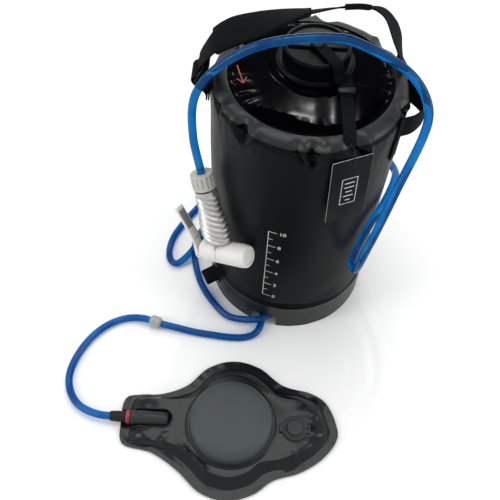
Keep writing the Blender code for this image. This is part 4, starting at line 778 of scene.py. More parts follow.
def shoulder(inset, start=0.0, end=90.0, steps=12):
    """The rounded shoulder of the rim, from one angle of its quarter turn to another."""
    across, rise = RADIUS - TOP_INNER - inset, RIM_Z - SHOULDER_Z - inset
    turn = [math.radians(start + (end - start) * i / steps) for i in range(steps + 1)]
    return [(TOP_INNER + across * math.cos(a), SHOULDER_Z + rise * math.sin(a)) for a in turn]


# %% [markdown]
# ## Wall
#
# The wall is nearly plain: slow waves where the sheet relaxed, a soft ring just above the skirt where it
# was folded for packing, and small creases by the rim. Each of them is one term of a function that says
# how far the sheet moves, which is easier to tune against a picture than a sculpted mesh.

# %% Wall
WALL_R = 0.1166
SKIRT_TOP = 0.050  # behind the skirt the wall doesn't wave
RING_MARK_Z = 0.0585
DENT_ANGLE, DENT_Z = -62.0, 0.075
CREASE_Z = 0.325  # the creases by the rim start here


def wall_push(angle, r, z):
    """How far the wall's outer face stands off at a point."""
    x, y = math.cos(angle), math.sin(angle)
    slow = 0.0011 * fabric(1.9 * x, 1.9 * y, 9.0 * z)
    folds = 0.0005 * fabric(5.5 * x, 5.5 * y, 3.2 * z, 1.0)
    near_rim = ease((z - CREASE_Z) / 0.045)
    creases = 0.00055 * near_rim * fabric(17.0 * x, 17.0 * y, 30.0 * z, 2.0)
    front = 0.35 + 0.65 * ease(1.0 - abs(math.degrees(angle) + 98.0) / 60.0)
    ring_z = RING_MARK_Z + 0.002 * fabric(3 * x, 3 * y, 0.0, 3.0)
    ring = 0.0024 * front * math.exp(-((z - ring_z) / 0.0040) ** 2)
    dent = 0.0020 * math.exp(-((math.degrees(angle) - DENT_ANGLE) / 9.0) ** 2 - ((z - DENT_Z) / 0.022) ** 2)
    above_skirt = ease((z - SKIRT_TOP) / 0.004)
    return (slow + folds + creases - ring - dent) * above_skirt - pucker(angle, r, z) - dimples(angle, z)


wall_profile = fine([(WALL_R, 0.0290), (WALL_R, 0.3300), (0.1170, 0.3600), (0.1169, SHOULDER_Z)])
wall_profile += shoulder(0.0009, 2.0, 44.0)
piece("wall", skin(wall_profile, wall_push), WALL, "bag_sheet", ["bag_wall"])

# %% [markdown]
# ## Hem and top panel
#
# The hem is matt and the panel glossy, so each gets its own finish. Both follow the rounded shoulder; the
# panel goes on across the top, where it waves a little and lies still under the neck and the leash. The
# hole for the neck is cut with a Boolean, since it sits off the bag's axis.

# %% Hem and panel
NECK_X, NECK_Y = 0.0050, 0.0280
LEASH_X = 0.041  # the leash lies across the panel here
hem_profile = shoulder(0.0, 31.0, 90.0, 18)


def hem_push(angle, r, z):
    x, y = math.cos(angle), math.sin(angle)
    edge = 0.0005 * math.exp(-((z - HEM_Z) / 0.0011) ** 2)
    return 0.00035 * fabric(9 * x, 9 * y, 60 * z) - edge - pucker(angle, r, z)


piece("hem", skin(hem_profile, hem_push, 0.0011), HEM, "bag_sheet", ["rim_hem"])


def panel_push(angle, r, z):
    x, y = r * math.cos(angle), r * math.sin(angle)
    free = ease((0.1000 - r) / 0.010) * ease((math.hypot(x - NECK_X, y - NECK_Y) - 0.048) / 0.012)
    under_leash = ease((abs(x - LEASH_X) - 0.010) / 0.030) if y < -0.01 else 1.0
    waves = 0.0006 * fabric(15 * x, 15 * y, 0.3) + 0.0001 * fabric(60 * x, 60 * y, 0.6, 1.0) - 0.0009
    spokes = -0.0010 * abs(fabric(6 * math.cos(angle), 6 * math.sin(angle), 0.0, 2.0))
    spokes *= ease((r - 0.062) / 0.03)
    rim = pucker(angle, max(r, TOP_INNER), max(z, SHOULDER_Z)) * 0.7 if r > 0.0945 else 0.0
    return (waves + spokes) * free * under_leash - rim


PANEL_Z = 0.3872
panel_profile = shoulder(0.0018, 20.0, 88.0, 10)
panel_profile += fine([(TOP_INNER - 0.0006, PANEL_Z), (0.0006, PANEL_Z)], 0.0016)
panel = skin(panel_profile, panel_push)
neck_hole = turned(mm((0, 380), (33.5, 380), (33.5, 395), (0, 395)), (NECK_X, NECK_Y, 0), sides=64)
piece("panel", cut(panel, neck_hole), PANEL, "bag_sheet", ["top_panel"])

# %% [markdown]
# ## Base and skirt
#
# The skirt is the band round the foot. It has a notch at the front where both hoses come out, with
# rounded upper corners, and the sheet is a little wavy because it hangs free there. The seam is a strip
# of tape that takes its shape from the wall's own function, so that it lies on the wall wherever that
# goes.


# %% Base, skirt and seam
def skirt_push(angle, r, z):
    x, y = math.cos(angle), math.sin(angle)
    bead = 0.0005 * math.exp(-((z - 0.0485) / 0.0012) ** 2)
    bead += 0.0004 * math.exp(-((z - 0.0012) / 0.0010) ** 2)
    return bead + 0.0006 * fabric(4.5 * x, 4.5 * y, 22 * z) - 0.0006


skirt = skin(fine([(RADIUS, 0.0003), (RADIUS, SKIRT_TOP)], 0.0012), skirt_push)
NOTCH_LEFT, NOTCH_RIGHT, NOTCH_TOP, CORNER = -0.050, -0.012, 0.0245, 0.008
below = -0.004  # the cutting shape starts under the skirt
notch = [(NOTCH_LEFT, below), (NOTCH_RIGHT, below)]
notch += arc(NOTCH_RIGHT - CORNER, NOTCH_TOP - CORNER, CORNER, 0, 90)
notch += arc(NOTCH_LEFT + CORNER, NOTCH_TOP - CORNER, CORNER, 90, 180)
stand = Matrix.Rotation(math.radians(90), 4, "X")
piece("skirt", cut(skirt, plate(notch, 0.090, 0.140, stand)), HEM, "bag_sheet", ["base_skirt"])


def base_push(angle, r, z):
    x, y = math.cos(angle), math.sin(angle)
    return -0.0008 * abs(fabric(5 * x, 5 * y, 30 * z)) * ease((r - 0.070) / 0.01)


base_profile = fine(mm((0.6, 0.2), (72, 0.2), (78, 12), (84, 25.5), (116, 26.2)), 0.003)
piece("base", skin(base_profile, base_push, -0.0014, 192), WALL, "bag_sheet", ["base_panel"])

SEAM = math.radians(-30)
SEAM_HALF = 0.0098
SEAM_LOW, SEAM_HIGH, SEAM_ROWS = 0.0505, 0.3700, 150
LIFTS = (-0.0006, 0.0003, 0.0005, 0.0005, 0.0005, 0.0003, -0.0006)
seam_points = []
for row in range(SEAM_ROWS + 1):
    z = SEAM_LOW + (SEAM_HIGH - SEAM_LOW) * row / SEAM_ROWS
    for k, lift in enumerate(LIFTS):
        angle = SEAM + (k - 3) / 3 * SEAM_HALF / RADIUS
        seam_points.append(polar(WALL_R + lift + wall_push(angle, WALL_R, z), angle, z))
seam = mesh_of(seam_points, ring_faces(len(LIFTS), SEAM_ROWS, closed=False))
seam = changed(seam, ("SOLIDIFY", {"thickness": 0.0006, "offset": -1.0}))
piece("seam_tape", seam, WALL, "bag_sheet", ["wall_seam_tape"])

# %% [markdown]
# ## Fill scale and arrow
#
# The front has a plain printed scale that tells how full the bag is, and a small red arrow on the panel.
# Print is a film of ink: a flat shape whose points are laid onto the wall by turning its x into an angle.
# Laying it in code keeps it a hair above the sheet everywhere, which an image or a decal could not
# promise.


# %% Print
def inked(flat, depth=0.00006):
    """Gives a flat print a back and sides, so that it is a thin solid layer."""
    bm = bmesh.new()
    bm.from_mesh(flat)
    bmesh.ops.remove_doubles(bm, verts=bm.verts, dist=1e-6)
    bmesh.ops.solidify(bm, geom=bm.faces[:], thickness=depth)
    bmesh.ops.recalc_face_normals(bm, faces=bm.faces)
    bm.to_mesh(flat)
    bm.free()
    return flat


def on_wall(flat, centre, low, lift=0.00025):
    """Lays a flat mesh of (x, y) on the wall: x goes round it and y goes up."""
    for vert in flat.vertices:
        angle, z = centre + vert.co.x / WALL_R, low + vert.co.y
        vert.co = polar(WALL_R + wall_push(angle, WALL_R, z) + lift, angle, z)
    return flat


def bar(x0, y0, x1, y1, pieces=8):
    """A flat printed bar, cut into strips so that it can bend."""
    points = []
    for i in range(pieces + 1):
        x = x0 + (x1 - x0) * i / pieces
        points += [(x, y0, 0), (x, y1, 0)]
    faces = [(2 * i, 2 * i + 2, 2 * i + 3, 2 * i + 1) for i in range(pieces)]
    return mesh_of(points, faces)


def numeral(text, x, y, size):
    """A flat printed numeral."""
    curve = bpy.data.curves.new("numeral", "FONT")
    curve.body = text
    curve.size = size
    flat = baked(placed("numeral", curve))
    flat.transform(Matrix.Translation((x, y, 0)))
    return flat


LITRE = 0.015  # one litre on the scale
LINE = 0.0004  # half the width of a printed line
marks = [bar(-LINE, LITRE * i, LINE, LITRE * (i + 1), 1) for i in range(10)]
marks += [bar(0.0, LITRE * i - LINE, 0.0060 if i % 2 else 0.0110, LITRE * i + LINE) for i in range(11)]
marks += [numeral(str(i), 0.0135, LITRE * i - 0.0032, 0.0095) for i in range(0, 11, 2)]
scale = on_wall(joined(marks), math.radians(-108), 0.080)
piece("fill_scale", inked(scale), INK, "tag_card")

ARROW_TAIL, ARROW_TIP = Vector((-0.0868, 0.0109, 0)), Vector((-0.0776, -0.0180, 0))
ARROW_HALF = 0.00075  # half the width of its lines
BARB_BACK, BARB_OUT = 0.0085, 0.0060
ahead = (ARROW_TIP - ARROW_TAIL).normalized()
aside = Vector((-ahead.y, ahead.x, 0))
barb = ARROW_TIP - ahead * BARB_BACK
ends = [barb - aside * BARB_OUT, barb + aside * BARB_OUT]
flat_arrow = []
for a, b in [(ARROW_TAIL, ARROW_TIP)] + [(ARROW_TIP, end) for end in ends]:
    run = (b - a).normalized()
    side = Vector((-run.y, run.x, 0)) * ARROW_HALF
    rows = [a.lerp(b, i / 10) for i in range(11)]
    points = [p + s for p in rows for s in (side, -side)]
    flat_arrow.append(mesh_of(points, ring_faces(2, 10, closed=False)))
arrow_mesh = joined(flat_arrow)
for vert in arrow_mesh.vertices:
    r, angle = vert.co.xy.length, math.atan2(vert.co.y, vert.co.x)
    vert.co.z = PANEL_Z + panel_push(angle, r, PANEL_Z) + 0.0004
piece("red_arrow", inked(arrow_mesh), RED_INK, "tag_card")

# %% [markdown]
# ## Filler cap
#
# The screw cap has a ribbed rim for wet fingers, a sunk top and a bar to twist it by. The ribs are a wave
# in the radius as the profile is spun, which costs nothing and stays exactly round between them.

# %% Neck and cap
NECK = Vector((NECK_X, NECK_Y, 0.0))
neck = mm((31.5, 381.2), (33.6, 381.2), (33.6, 387.5), (47, 387.5), (47, 388.8), (44, 389.6), (43.5, 391),
          (34.5, 391), (34.5, 403.2), (31.5, 403.2))
piece("neck", turned(neck, NECK, sides=128, edge=0.0005), BLACK, "black_plastic", ["neck_collar"])


def ribbed(angle, r, z):
    """Fine ribs round the side of the cap."""
    on_side = ease((r - 0.0388) / 0.0006) * ease((z - 0.3925) / 0.0010) * ease((0.4095 - z) / 0.0010)
    return r - 0.0007 * on_side * (0.5 + 0.5 * math.cos(64 * angle)) ** 2


cap = mm((35, 391.8), (39, 391.8), (40, 392.8), (40, 396), (40, 402), (40, 408.5), (39.2, 410),
         (36.8, 411.2), (35.2, 410.6), (35, 407.5), (3.3, 407.2), (3.3, 404), (35, 404))
cap_mesh = turned(cap, NECK, sides=512, edge=0.0008, wave=ribbed)
grip_bar = block((-0.0352, -0.0048, 0.4040), (0.0352, 0.0048, 0.4110), Matrix.Translation(NECK), 0.0012)
rivet_hole = turned(mm((0, 400), (3.4, 400), (3.4, 420), (0, 420)), NECK, sides=32)
grip_bar = cut(grip_bar, rivet_hole)
piece("cap_shell", joined([cap_mesh, grip_bar]), BLACK, "black_plastic", ["filler_cap"], "cap")

button = mm((0, 401), (8, 401), (8, 402.4), (3, 402.4), (3, 412.2), (9, 412.4), (8.8, 413.4), (6.2, 414.3),
            (5.8, 413.5), (0, 413.7))
button = turned(button, NECK, sides=64, edge=0.0005)
piece("leash_button", button, BLACK, "black_plastic", ["cap_button"], "cap_strap")

# %% [markdown]
# ## Leash
#
# Two straps and a slide keep the cap from being lost. The upper one is clamped to the cap's button and must
# stretch as the cap is unscrewed, so it rides on no body; the lower one is welded to the rim.

# %% Leash
SLIDER = Vector((0.0400, -0.0250, 0.0))
along = (SLIDER - NECK).normalized()
across = Vector((-along.y, along.x, 0.0))


def over_cap(distance, z):
    """A point above the cap, some way along the leash."""
    return NECK + along * distance + Vector((0, 0, z))


on_cap = mm((-11, 411.7), (10, 411.7), (30, 411.7), (39.2, 411.3), (43.2, 408.4), (45.2, 400.7),
            (47.5, 396.8))
upper_path = [over_cap(distance, z) for distance, z in on_cap]
upper_path += mm((40, -9.2, 392.7), (40, -17, 390.4), (40, -32.5, 390.2))
upper_sides = [across] * 7 + [Vector((1, 0.2, 0))] + [Vector((1, 0, 0))] * 2
upper = strap(upper_path, upper_sides, 0.0150, 0.0012)
upper = piece("leash_upper_strap", upper, STRAP, "strap_webbing", ["leash_upper"], None)
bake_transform(upper)
lower_path = mm((40, -18.8, 388.9), (40.2, -33, 388.9), (40.4, -42, 388.1), (41.6, -72, 388.1),
                (41.8, -80, 388.6), (41.8, -86, 390), (41.8, -93, 389.9), (41.8, -98.5, 387.8),
                (41.8, -103, 384))
lower = strap(lower_path, [(1, 0.03, 0)] * len(lower_path), 0.0150, 0.0014)
piece("leash_lower_strap", lower, STRAP, "strap_webbing", ["leash_lower"])
slide_low, slide_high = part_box("leash_slider")
slide = block(slide_low, slide_high, edge=0.0005)
slot_low = Vector((0.0321, slide_low[1] - 0.01, slide_low[2] + 0.0007))
slot_high = Vector((0.0479, slide_high[1] + 0.01, slide_high[2] - 0.0007))
slide = cut(slide, block(slot_low, slot_high, edge=0.0002))
piece("leash_slide", slide, BLACK, "black_plastic", ["leash_slider"])
reach = sum(run_length([Vector(p) for p in path]) for path in (upper_path, lower_path))
print("leash from the cap to the rim:", round(reach, 3), "m")

# %% [markdown]
# ## Carrying strap
#
# The carrying strap starts at a plastic ring on the left, climbs over the cap through a padded sleeve and
# a keeper, and dives down behind the right of the rim. Its width turns along the way, as a strap does
# when nobody holds it, so each point of the run has a direction for the width beside it. Sleeve and
# keeper are wider bands along a stretch of the same run.

# %% Handle
RING = Vector((-0.1290, 0.0030, 0.3880))
RING_UP = Vector((0.450, 0.0, 0.893)).normalized()
RING_NORMAL = Vector((0, 1, 0)).cross(RING_UP)
STRAP_R = RADIUS + 0.0003 + 0.0010
STRAP_WIDTH, STRAP_THICK = 0.030, 0.0018
FOLD_R = 0.0044  # from the middle of a bar of the ring to the middle of the webbing
BAR_OFF = 0.00775  # from the middle of the ring to the middle of a bar


def folded(centre, start, direction):
    """Half a turn of webbing round a bar of the ring."""
    turn = [math.pi * i / 6 for i in range(7)]
    return [centre + RING_NORMAL * start * FOLD_R * math.cos(a) + RING_UP * direction * FOLD_R * math.sin(a)
            for a in turn]


upper_bar, lower_bar = RING + RING_UP * BAR_OFF, RING - RING_UP * BAR_OFF
handle_path = [upper_bar + RING_NORMAL * FOLD_R + RING_UP * 0.0080] + folded(upper_bar, 1, -1)
handle_sides = [(0, 1, 0)] * 8
rim = Vector((0, 0, RIM_Z))
climb = [(RING, (0.0065, -0.0005, 0.0215), (0, 0.97, 0.20)),
         (RING, (0.0180, -0.0020, 0.0390), (0, 0.92, 0.38)),
         (RING, (0.0374, -0.0030, 0.0540), (0, 0.90, 0.43)), (rim, (-0.0626, 0, 0.0650), (0, 0.93, 0.20)),
         (rim, (-0.0360, 0, 0.0760), (0, 0.93, -0.20)), (rim, (-0.0106, 0, 0.0845), (0, 0.85, -0.50)),
         (rim, (0.0251, 0, 0.0935), (0, 0.78, -0.62)), (rim, (0.0485, 0, 0.0950), (0, 0.80, -0.60))]
climb = [(start + Vector(away), side) for start, away, side in climb]
fall = [(-0.0510, 1.7, 0.0855, (0.22, 0.88, -0.36)), (-0.0340, 3.4, 0.0620, (0.30, 0.90, -0.16)),
        (-0.0213, 7.6, 0.0350, (0.20, 0.94, -0.16)), (-0.0104, 14.9, 0.0110, (-0.05, 0.97, -0.16)),
        (-0.0017, 20.7, -0.0030, (-0.28, 0.95, -0.12)), (0.0016, 22.3, -0.0130, (-0.36, 0.93, 0)),
        (0.0, 22.3, -0.0230, (-0.38, 0.925, 0)), (0.0, 22.3, -0.0370, (-0.38, 0.925, 0))]
climb += [(polar(STRAP_R + out, math.radians(angle), RIM_Z + lift), side)
          for out, angle, lift, side in fall]
handle_path += [point for point, _ in climb]
handle_sides += [side for _, side in climb]
webbing = strap(handle_path, handle_sides, STRAP_WIDTH, STRAP_THICK)
piece("carry_strap", webbing, STRAP, "strap_webbing", ["handle_webbing"])
sleeve = strap(handle_path, handle_sides, 0.0352, 0.0085, 0.55, (9, 13))
sleeve = piece("strap_sleeve", sleeve, STRAP, "strap_webbing", ["handle_sleeve"])
keeper = strap(handle_path, handle_sides, 0.0342, 0.0062, 0.2, (14, 15))
piece("strap_keeper", keeper, STRAP, "strap_webbing", ["handle_keeper"])


def tab_point(out, down):
    """A point of the tab, out from the wall and down from the ring."""
    return Vector((-(STRAP_R + out), 0.0030, RING.z - down))


tab = [tab_point(-0.0006, 0.0380), tab_point(-0.0004, 0.0225), tab_point(0.0040, 0.0158)]
tab += folded(lower_bar, 1, 1)
tab += [lower_bar - RING_NORMAL * FOLD_R - RING_UP * 0.0038, tab_point(0.0144, 0.0172),
        tab_point(0.0067, 0.0230), tab_point(0.0025, 0.0290), tab_point(0.0020, 0.0380)]
tab = strap(tab, [(0, 1, 0)] * len(tab), STRAP_WIDTH, STRAP_THICK)
piece("ring_tab", tab, STRAP, "strap_webbing", ["handle_anchor"])
turn = Matrix((RING_NORMAL, Vector((0, 1, 0)), RING_UP)).transposed().to_4x4()
place = Matrix.Translation(RING) @ turn
ring = cut(block((-0.0020, -0.0190, -0.0100), (0.0020, 0.0190, 0.0100), place, 0.0014),
           block((-0.0060, -0.0155, -0.0055), (0.0060, 0.0155, 0.0055), place, 0.0010))
piece("strap_ring", ring, BLACK, "black_plastic", ["handle_ring"])

# %% [markdown]
# ## Loops and tabs
#
# Three more bits of webbing are sewn to the wall: a loop on the right to hang the bag by, its tail below,
# and a small folded tab low on the left. Their runs are given by how far they stand off the wall, so they
# stay sewn to it whatever its radius.


# %% Loops and tabs
def sewn(name, path, across, width, solid):
    """A strap that keeps one direction of its width all along."""
    mesh = strap(path, [across] * len(path), width, STRAP_THICK)
    return piece(name, mesh, STRAP, "strap_webbing", [solid])


bow = [(-0.0004, 10), (0.0, 5), (0.0044, 1.4), (0.0115, -2.6), (0.0168, -6.8), (0.0176, -11.4),
       (0.0138, -17.1), (0.0077, -22.7), (0.0, -27), (-0.0006, -32)]
loop = [polar(STRAP_R + out, math.radians(a), 0.3680) for out, a in bow]
sewn("hanging_loop", loop, (0, 0, 1), STRAP_WIDTH, "side_loop")
angle = math.radians(-29.5)
tail = [polar(STRAP_R - 0.0006, angle, 0.3527 - 0.010 * i) for i in range(4)]
sewn("loop_end", tail, polar(1, angle + math.pi / 2), 0.015, "loop_tail")
angle = math.radians(-152)
fold = mm((0, 1), (2.2, 3.8), (17.9, 7.5), (20.5, 9), (20.5, 11.2), (17.9, 12.2), (2.2, 10), (0, 13),
          (0, 21))
low_tab = [polar(STRAP_R + out, angle, 0.0500 - down) for out, down in fold]
sewn("foot_tab", low_tab, polar(1, angle + math.pi / 2), 0.024, "lower_tab")

# %% [markdown]
# ## Hang tag
#
# The tag is a coated card on a thin cord. Its corners are cut round, and the white core of the card shows
# as a thin pale line along the edges. A plain frame and a few bars stand for print. The cord is in two
# pieces, because its lower end swings with the card and the rest stays with the bag.

# %% Tag
TAG_ANGLE = math.radians(-66)
tag_out = polar(1, TAG_ANGLE)
tag_side = polar(1, TAG_ANGLE + math.pi / 2)
tag_top = tag_out * 0.1189 + Vector((0, 0, 0.3700))
tag_down = tag_out * math.sin(math.radians(5)) - Vector((0, 0, 1)) * math.cos(math.radians(5))
tag_turn = Matrix((tag_side, -tag_down, tag_side.cross(-tag_down))).transposed().to_4x4()
tag_place = Matrix.Translation(tag_top) @ tag_turn
CARD_HALF, CARD_HEIGHT, CARD_DEEP = 0.0248, 0.0950, 0.0004
CORE_EDGE = 0.0002  # how far the white core stands out past the black faces' edges
PRINT_Z = 0.00047  # just above the card's face


def rounded_card(half, top, bottom, radius):
    """The outline of a card with round corners."""
    right, high, low = half - radius, top - radius, bottom + radius
    return (arc(right, high, radius, 0, 90) + arc(-right, high, radius, 90, 180)
            + arc(-right, low, radius, 180, 270) + arc(right, low, radius, 270, 360))


card = plate(rounded_card(CARD_HALF, 0.0, -CARD_HEIGHT, 0.0012), -CARD_DEEP, CARD_DEEP, tag_place, 0.0001)
hole = turned(mm((0, -4), (2.5, -4), (2.5, 4), (0, 4)), (0.0, -0.0065, 0.0), sides=24)
hole.transform(tag_place)
piece("tag_board", cut(card, hole), CARD, "tag_card", ["hang_tag"], "tag")
core = rounded_card(CARD_HALF + CORE_EDGE, CORE_EDGE, -CARD_HEIGHT - CORE_EDGE, 0.0014)
core = plate(core, -0.00018, 0.00018, tag_place, 0.0001)
piece("tag_core", cut(core, hole.copy()), INK, "tag_card", (), "tag")


def ring_line(half, top, bottom, width):
    """A printed frame, of lines of one width."""
    outer = rounded_card(half, top, bottom, 0.001)
    inner = rounded_card(half - width, top - width, bottom + width, 0.0007)
    return mesh_of([(x, y, PRINT_Z) for x, y in outer + inner], ring_faces(len(outer), 1), tag_place)


BARS_TOP, BAR_STEP, BAR_DEEP = -0.0360, 0.0068, 0.0012
printed = [ring_line(0.0100, -0.0290, -0.0700, 0.0007)]
for i, half in enumerate((0.0062, 0.0062, 0.0040, 0.0062, 0.0030)):
    top = BARS_TOP - BAR_STEP * i
    low = top - BAR_DEEP
    corners = [(x, y, PRINT_Z) for x, y in ((-half, top), (half, top), (half, low), (-half, low))]
    printed.append(mesh_of(corners, [(0, 1, 2, 3)], tag_place))
piece("tag_print", inked(joined(printed)), INK, "tag_card", (), "tag")
rim_point = Vector((0.0418, -0.1026, 0.3868))
tag_hinge = tag_out * 0.1203 + Vector((0, 0, tag_top.z))
CORD_R = 0.0006
cord_route = [rim_point, tag_out * 0.1150 + Vector((0, 0, 0.3835)),
              tag_out * 0.1196 + Vector((0, 0, 0.3760)), tag_hinge]
tube("tag_string", cord_route, CORD_R, RUBBER, ["tag_cord"])
loop_route = [tag_hinge, tag_out * 0.1200 + Vector((0, 0, 0.3660)),
              tag_out * 0.1186 + Vector((0, 0, 0.3638))]
tube("tag_string_end", loop_route, CORD_R, RUBBER, (), "tag")

# %% [markdown]
# ## Shower head
#
# The head has its own axes: x along the spray, z up the grip. Every piece is made in those axes and then
# put in place by one matrix, so that its numbers stay simple. Barrel, boss and lug are separate shapes
# melted together on a fine grid of voxels, because that gives the soft inside corners of a moulding,
# which a plain Boolean never has.

# %% Head frame and body
SPRAY = Vector((0.8446, -0.3908, 0.3658)).normalized()
GRIP = Vector((-0.2302, 0.3518, 0.9073)).normalized()
head_turn = Matrix((SPRAY, GRIP.cross(SPRAY), GRIP)).transposed().to_4x4()
HEAD = Matrix.Translation((-0.0968, -0.1032, 0.1679)) @ head_turn


def head_piece(name, mesh, *looks, sharp=38):
    """A piece that was made in the head's own axes."""
    mesh.transform(HEAD)
    return piece(name, mesh, *looks, sharp=sharp)


barrel = turned(mm((0, -29), (8.5, -29), (12.2, -27.2), (14.6, -23.5), (15.6, -19), (15.75, -15),
                   (15.75, 1.8), (0, 1.8)), axis=(1, 0, 0), edge=0.0010)
boss = turned(mm((0, 0), (12.8, 0), (14, 17.2), (0, 17.2)), (-0.0005, 0, 0), edge=0.0008)
lug = block((-0.0385, -0.0038, -0.0135), (-0.0200, 0.0038, -0.0052), edge=0.0012)
head = fused([barrel, boss, lug], 0.00055, 5)
trim = block((0.0018, -0.03, -0.03), (0.03, 0.03, 0.03), edge=0.0001)
spigot = turned(mm((10, 1), (12.6, 1), (12.6, 16), (10, 16)), axis=(1, 0, 0))
head_piece("shower_head", joined([cut(head, trim), spigot]), PALE, "pale_plastic", ["head_body"])

nozzle = mm((13.1, 2.4), (15.75, 2.4), (15.75, 7), (15.2, 7.6), (15.2, 8.4), (15.75, 9), (15.75, 38),
            (15, 42.5), (14, 44.8), (11.2, 45), (11.2, 43.6), (13.1, 43.6))
collar = turned(nozzle, axis=(1, 0, 0), edge=0.0005)
head_piece("nozzle", collar, PALE, "pale_plastic", ["nozzle_collar"], "nozzle")

# %% [markdown]
# ## Hand grip and union nut
#
# The grip is an oval column with slanting ridges for a wet hand. A ridge is a wave along the grip whose
# place shifts as it goes round, so each one climbs from front to back in a crescent. The nut above has
# broad ribs.


# %% Grip and nut
def column(rows, section, sides=96):
    """Skins a stack of rings; section(z, angle) gives the two reaches of each ring's point."""
    points = [(*section(z, math.tau * k / sides), z) for z in rows for k in range(sides)]
    return mesh_of(points, ring_faces(sides, len(rows) - 1) + ends_of(points, sides))


GRIP_LOW, GRIP_HIGH, GRIP_ROWS = 0.0178, 0.0958, 170
GRIP_ACROSS, GRIP_THROUGH = 0.0210, 0.0150
GRIP_NECK_Z, GRIP_NECK_R = 0.0850, 0.0138
RIDGE_STEP, RIDGE_DEPTH = 0.0080, 0.0034
RIDGES_FROM, RIDGES_TO = 0.0200, 0.0880


def grip_section(z, angle):
    """The reaches of the grip across and through, at a height."""
    share = clamp((z - GRIP_LOW) / 0.0722)
    swell = 0.80 + 0.20 * math.sin(math.pi * min(1.0, share * 1.25 + 0.12) ** 0.9)
    neck = ease((z - GRIP_NECK_Z) / 0.0075)
    x, y = math.cos(angle), math.sin(angle)
    phase = (z + 0.0085 * x + 0.0025 * abs(y)) / RIDGE_STEP
    wave = (0.5 + 0.5 * math.cos(math.tau * phase)) ** 0.55
    strength = ease((z - RIDGES_FROM) / 0.004) * ease((RIDGES_TO - z) / 0.004)
    sunk = RIDGE_DEPTH * (1.0 - wave) * strength
    across = (GRIP_ACROSS * swell - sunk) * (1 - neck) + GRIP_NECK_R * neck
    through = (GRIP_THROUGH * swell - sunk) * (1 - neck) + GRIP_NECK_R * neck
    return across * x, through * y


rows = [GRIP_LOW + (GRIP_HIGH - GRIP_LOW) * i / GRIP_ROWS for i in range(GRIP_ROWS + 1)]
head_piece("grip", column(rows, grip_section), SILVER, "pale_plastic", ["hand_grip"], sharp=70)


def nut_wave(angle, r, z):
    """Broad ribs round the side of the nut."""
    on_side = ease((r - 0.0125) / 0.001) * ease((z - 0.1012) / 0.0008) * ease((0.1182 - z) / 0.0010)
    return r - 0.0013 * on_side * ease(0.5 + 1.1 * math.cos(14 * angle))


nut = mm((11.8, 98.5), (15, 98.5), (15.2, 99.2), (15.2, 100.8), (15, 101.4), (15, 105), (15, 110),
         (15, 115), (14.8, 118.5), (13.8, 119), (5.6, 119), (5.6, 111.2), (11.8, 111.2))
nut = turned(nut, sides=336, edge=0.0005, wave=nut_wave)
head_piece("union_nut_cap", nut, NUT, "pale_plastic", ["hose_nut"], "union_nut")

# %% [markdown]
# ## Trigger lever
#
# The lever is a flat bar with an eye at its lower end. Its outline is drawn once and given thickness, a
# bevel rounds it and a Boolean takes out the fork for the lug. A grey plate on its front face is painted
# shade: it stands in for the shadow inside the lever's hollow face.

# %% Lever
eye = arc(-0.0350, -0.0090, 0.0045, -180, 0, 15)
front = mm((-33.5, -3), (-33.8, 1.8), (-35.2, 12), (-37.5, 23.5), (-42, 35), (-46.8, 48), (-51.3, 60.2))
rear = mm((-52.2, 61.4), (-54, 61.8), (-55.3, 61), (-55.6, 59.8), (-46.1, 36), (-41.5, 24), (-38.4, 12.5),
          (-39.2, 1))
lever_turn = Matrix(((1, 0, 0, 0), (0, 0, 1, 0), (0, 1, 0, 0), (0, 0, 0, 1)))
lever = plate(eye + front + rear, -0.0070, 0.0070, lever_turn, 0.0006)
lever = cut(lever, block((-0.0550, -0.0043, -0.0290), (-0.0150, 0.0043, -0.0040), edge=0.0002))
head_piece("lever_bar", lever, PALE, "pale_plastic", ["trigger_lever"], "lever")
# Painted shade: this grey plate on the lever's front stands in for the shadow inside its hollow face.
hollow_shade_plate = mm((-35.7, 15), (-38.8, 25.4), (-41.7, 35.2), (-45.7, 46), (-49.6, 57))
hollow_shade_plate += [(x - 0.0010, z) for x, z in reversed(hollow_shade_plate)]
hollow_shade_plate = plate(hollow_shade_plate, -0.0054, 0.0054, lever_turn, 0.0001)
head_piece("lever_hollow_shade", hollow_shade_plate, HOLLOW_SHADE, "grey_plastic", (), "lever")

# %% [markdown]
# ## Foot pump skins
#
# The pump is two sheets welded round the edge over a dome. The weld is a flat rim; inside it the top
# sheet rises and wrinkles, most of all in the two ears. The small wrinkles are noise; the six folds that
# stand out have runs of their own, since each can be seen by itself. The sheet is a stack of rings that
# start as the outline and end as the circle under the dome.

# %% Pump skins
PUMP = Vector((-0.0685, -0.2830, 0.0))
PUMP_OUTLINE = mm((-149, 33), (-151.5, -8), (-146, -31), (-103, -42), (-68, -63), (-35, -90), (0, -98.5),
                  (35, -88), (60, -69), (96, -56), (128, -34), (147, -6), (145, 15), (131, 44), (112, 56),
                  (70, 66), (35, 91), (-2, 99), (-38, 86), (-66, 57), (-100, 42), (-130, 39))
EDGE_COUNT = 320
WELD = 0.0100  # width of the flat welded rim
outline = smooth([Vector((x, y, 0)) + PUMP for x, y in PUMP_OUTLINE], 0.001, True)
outline = even([point for point, _ in outline], EDGE_COUNT, True)

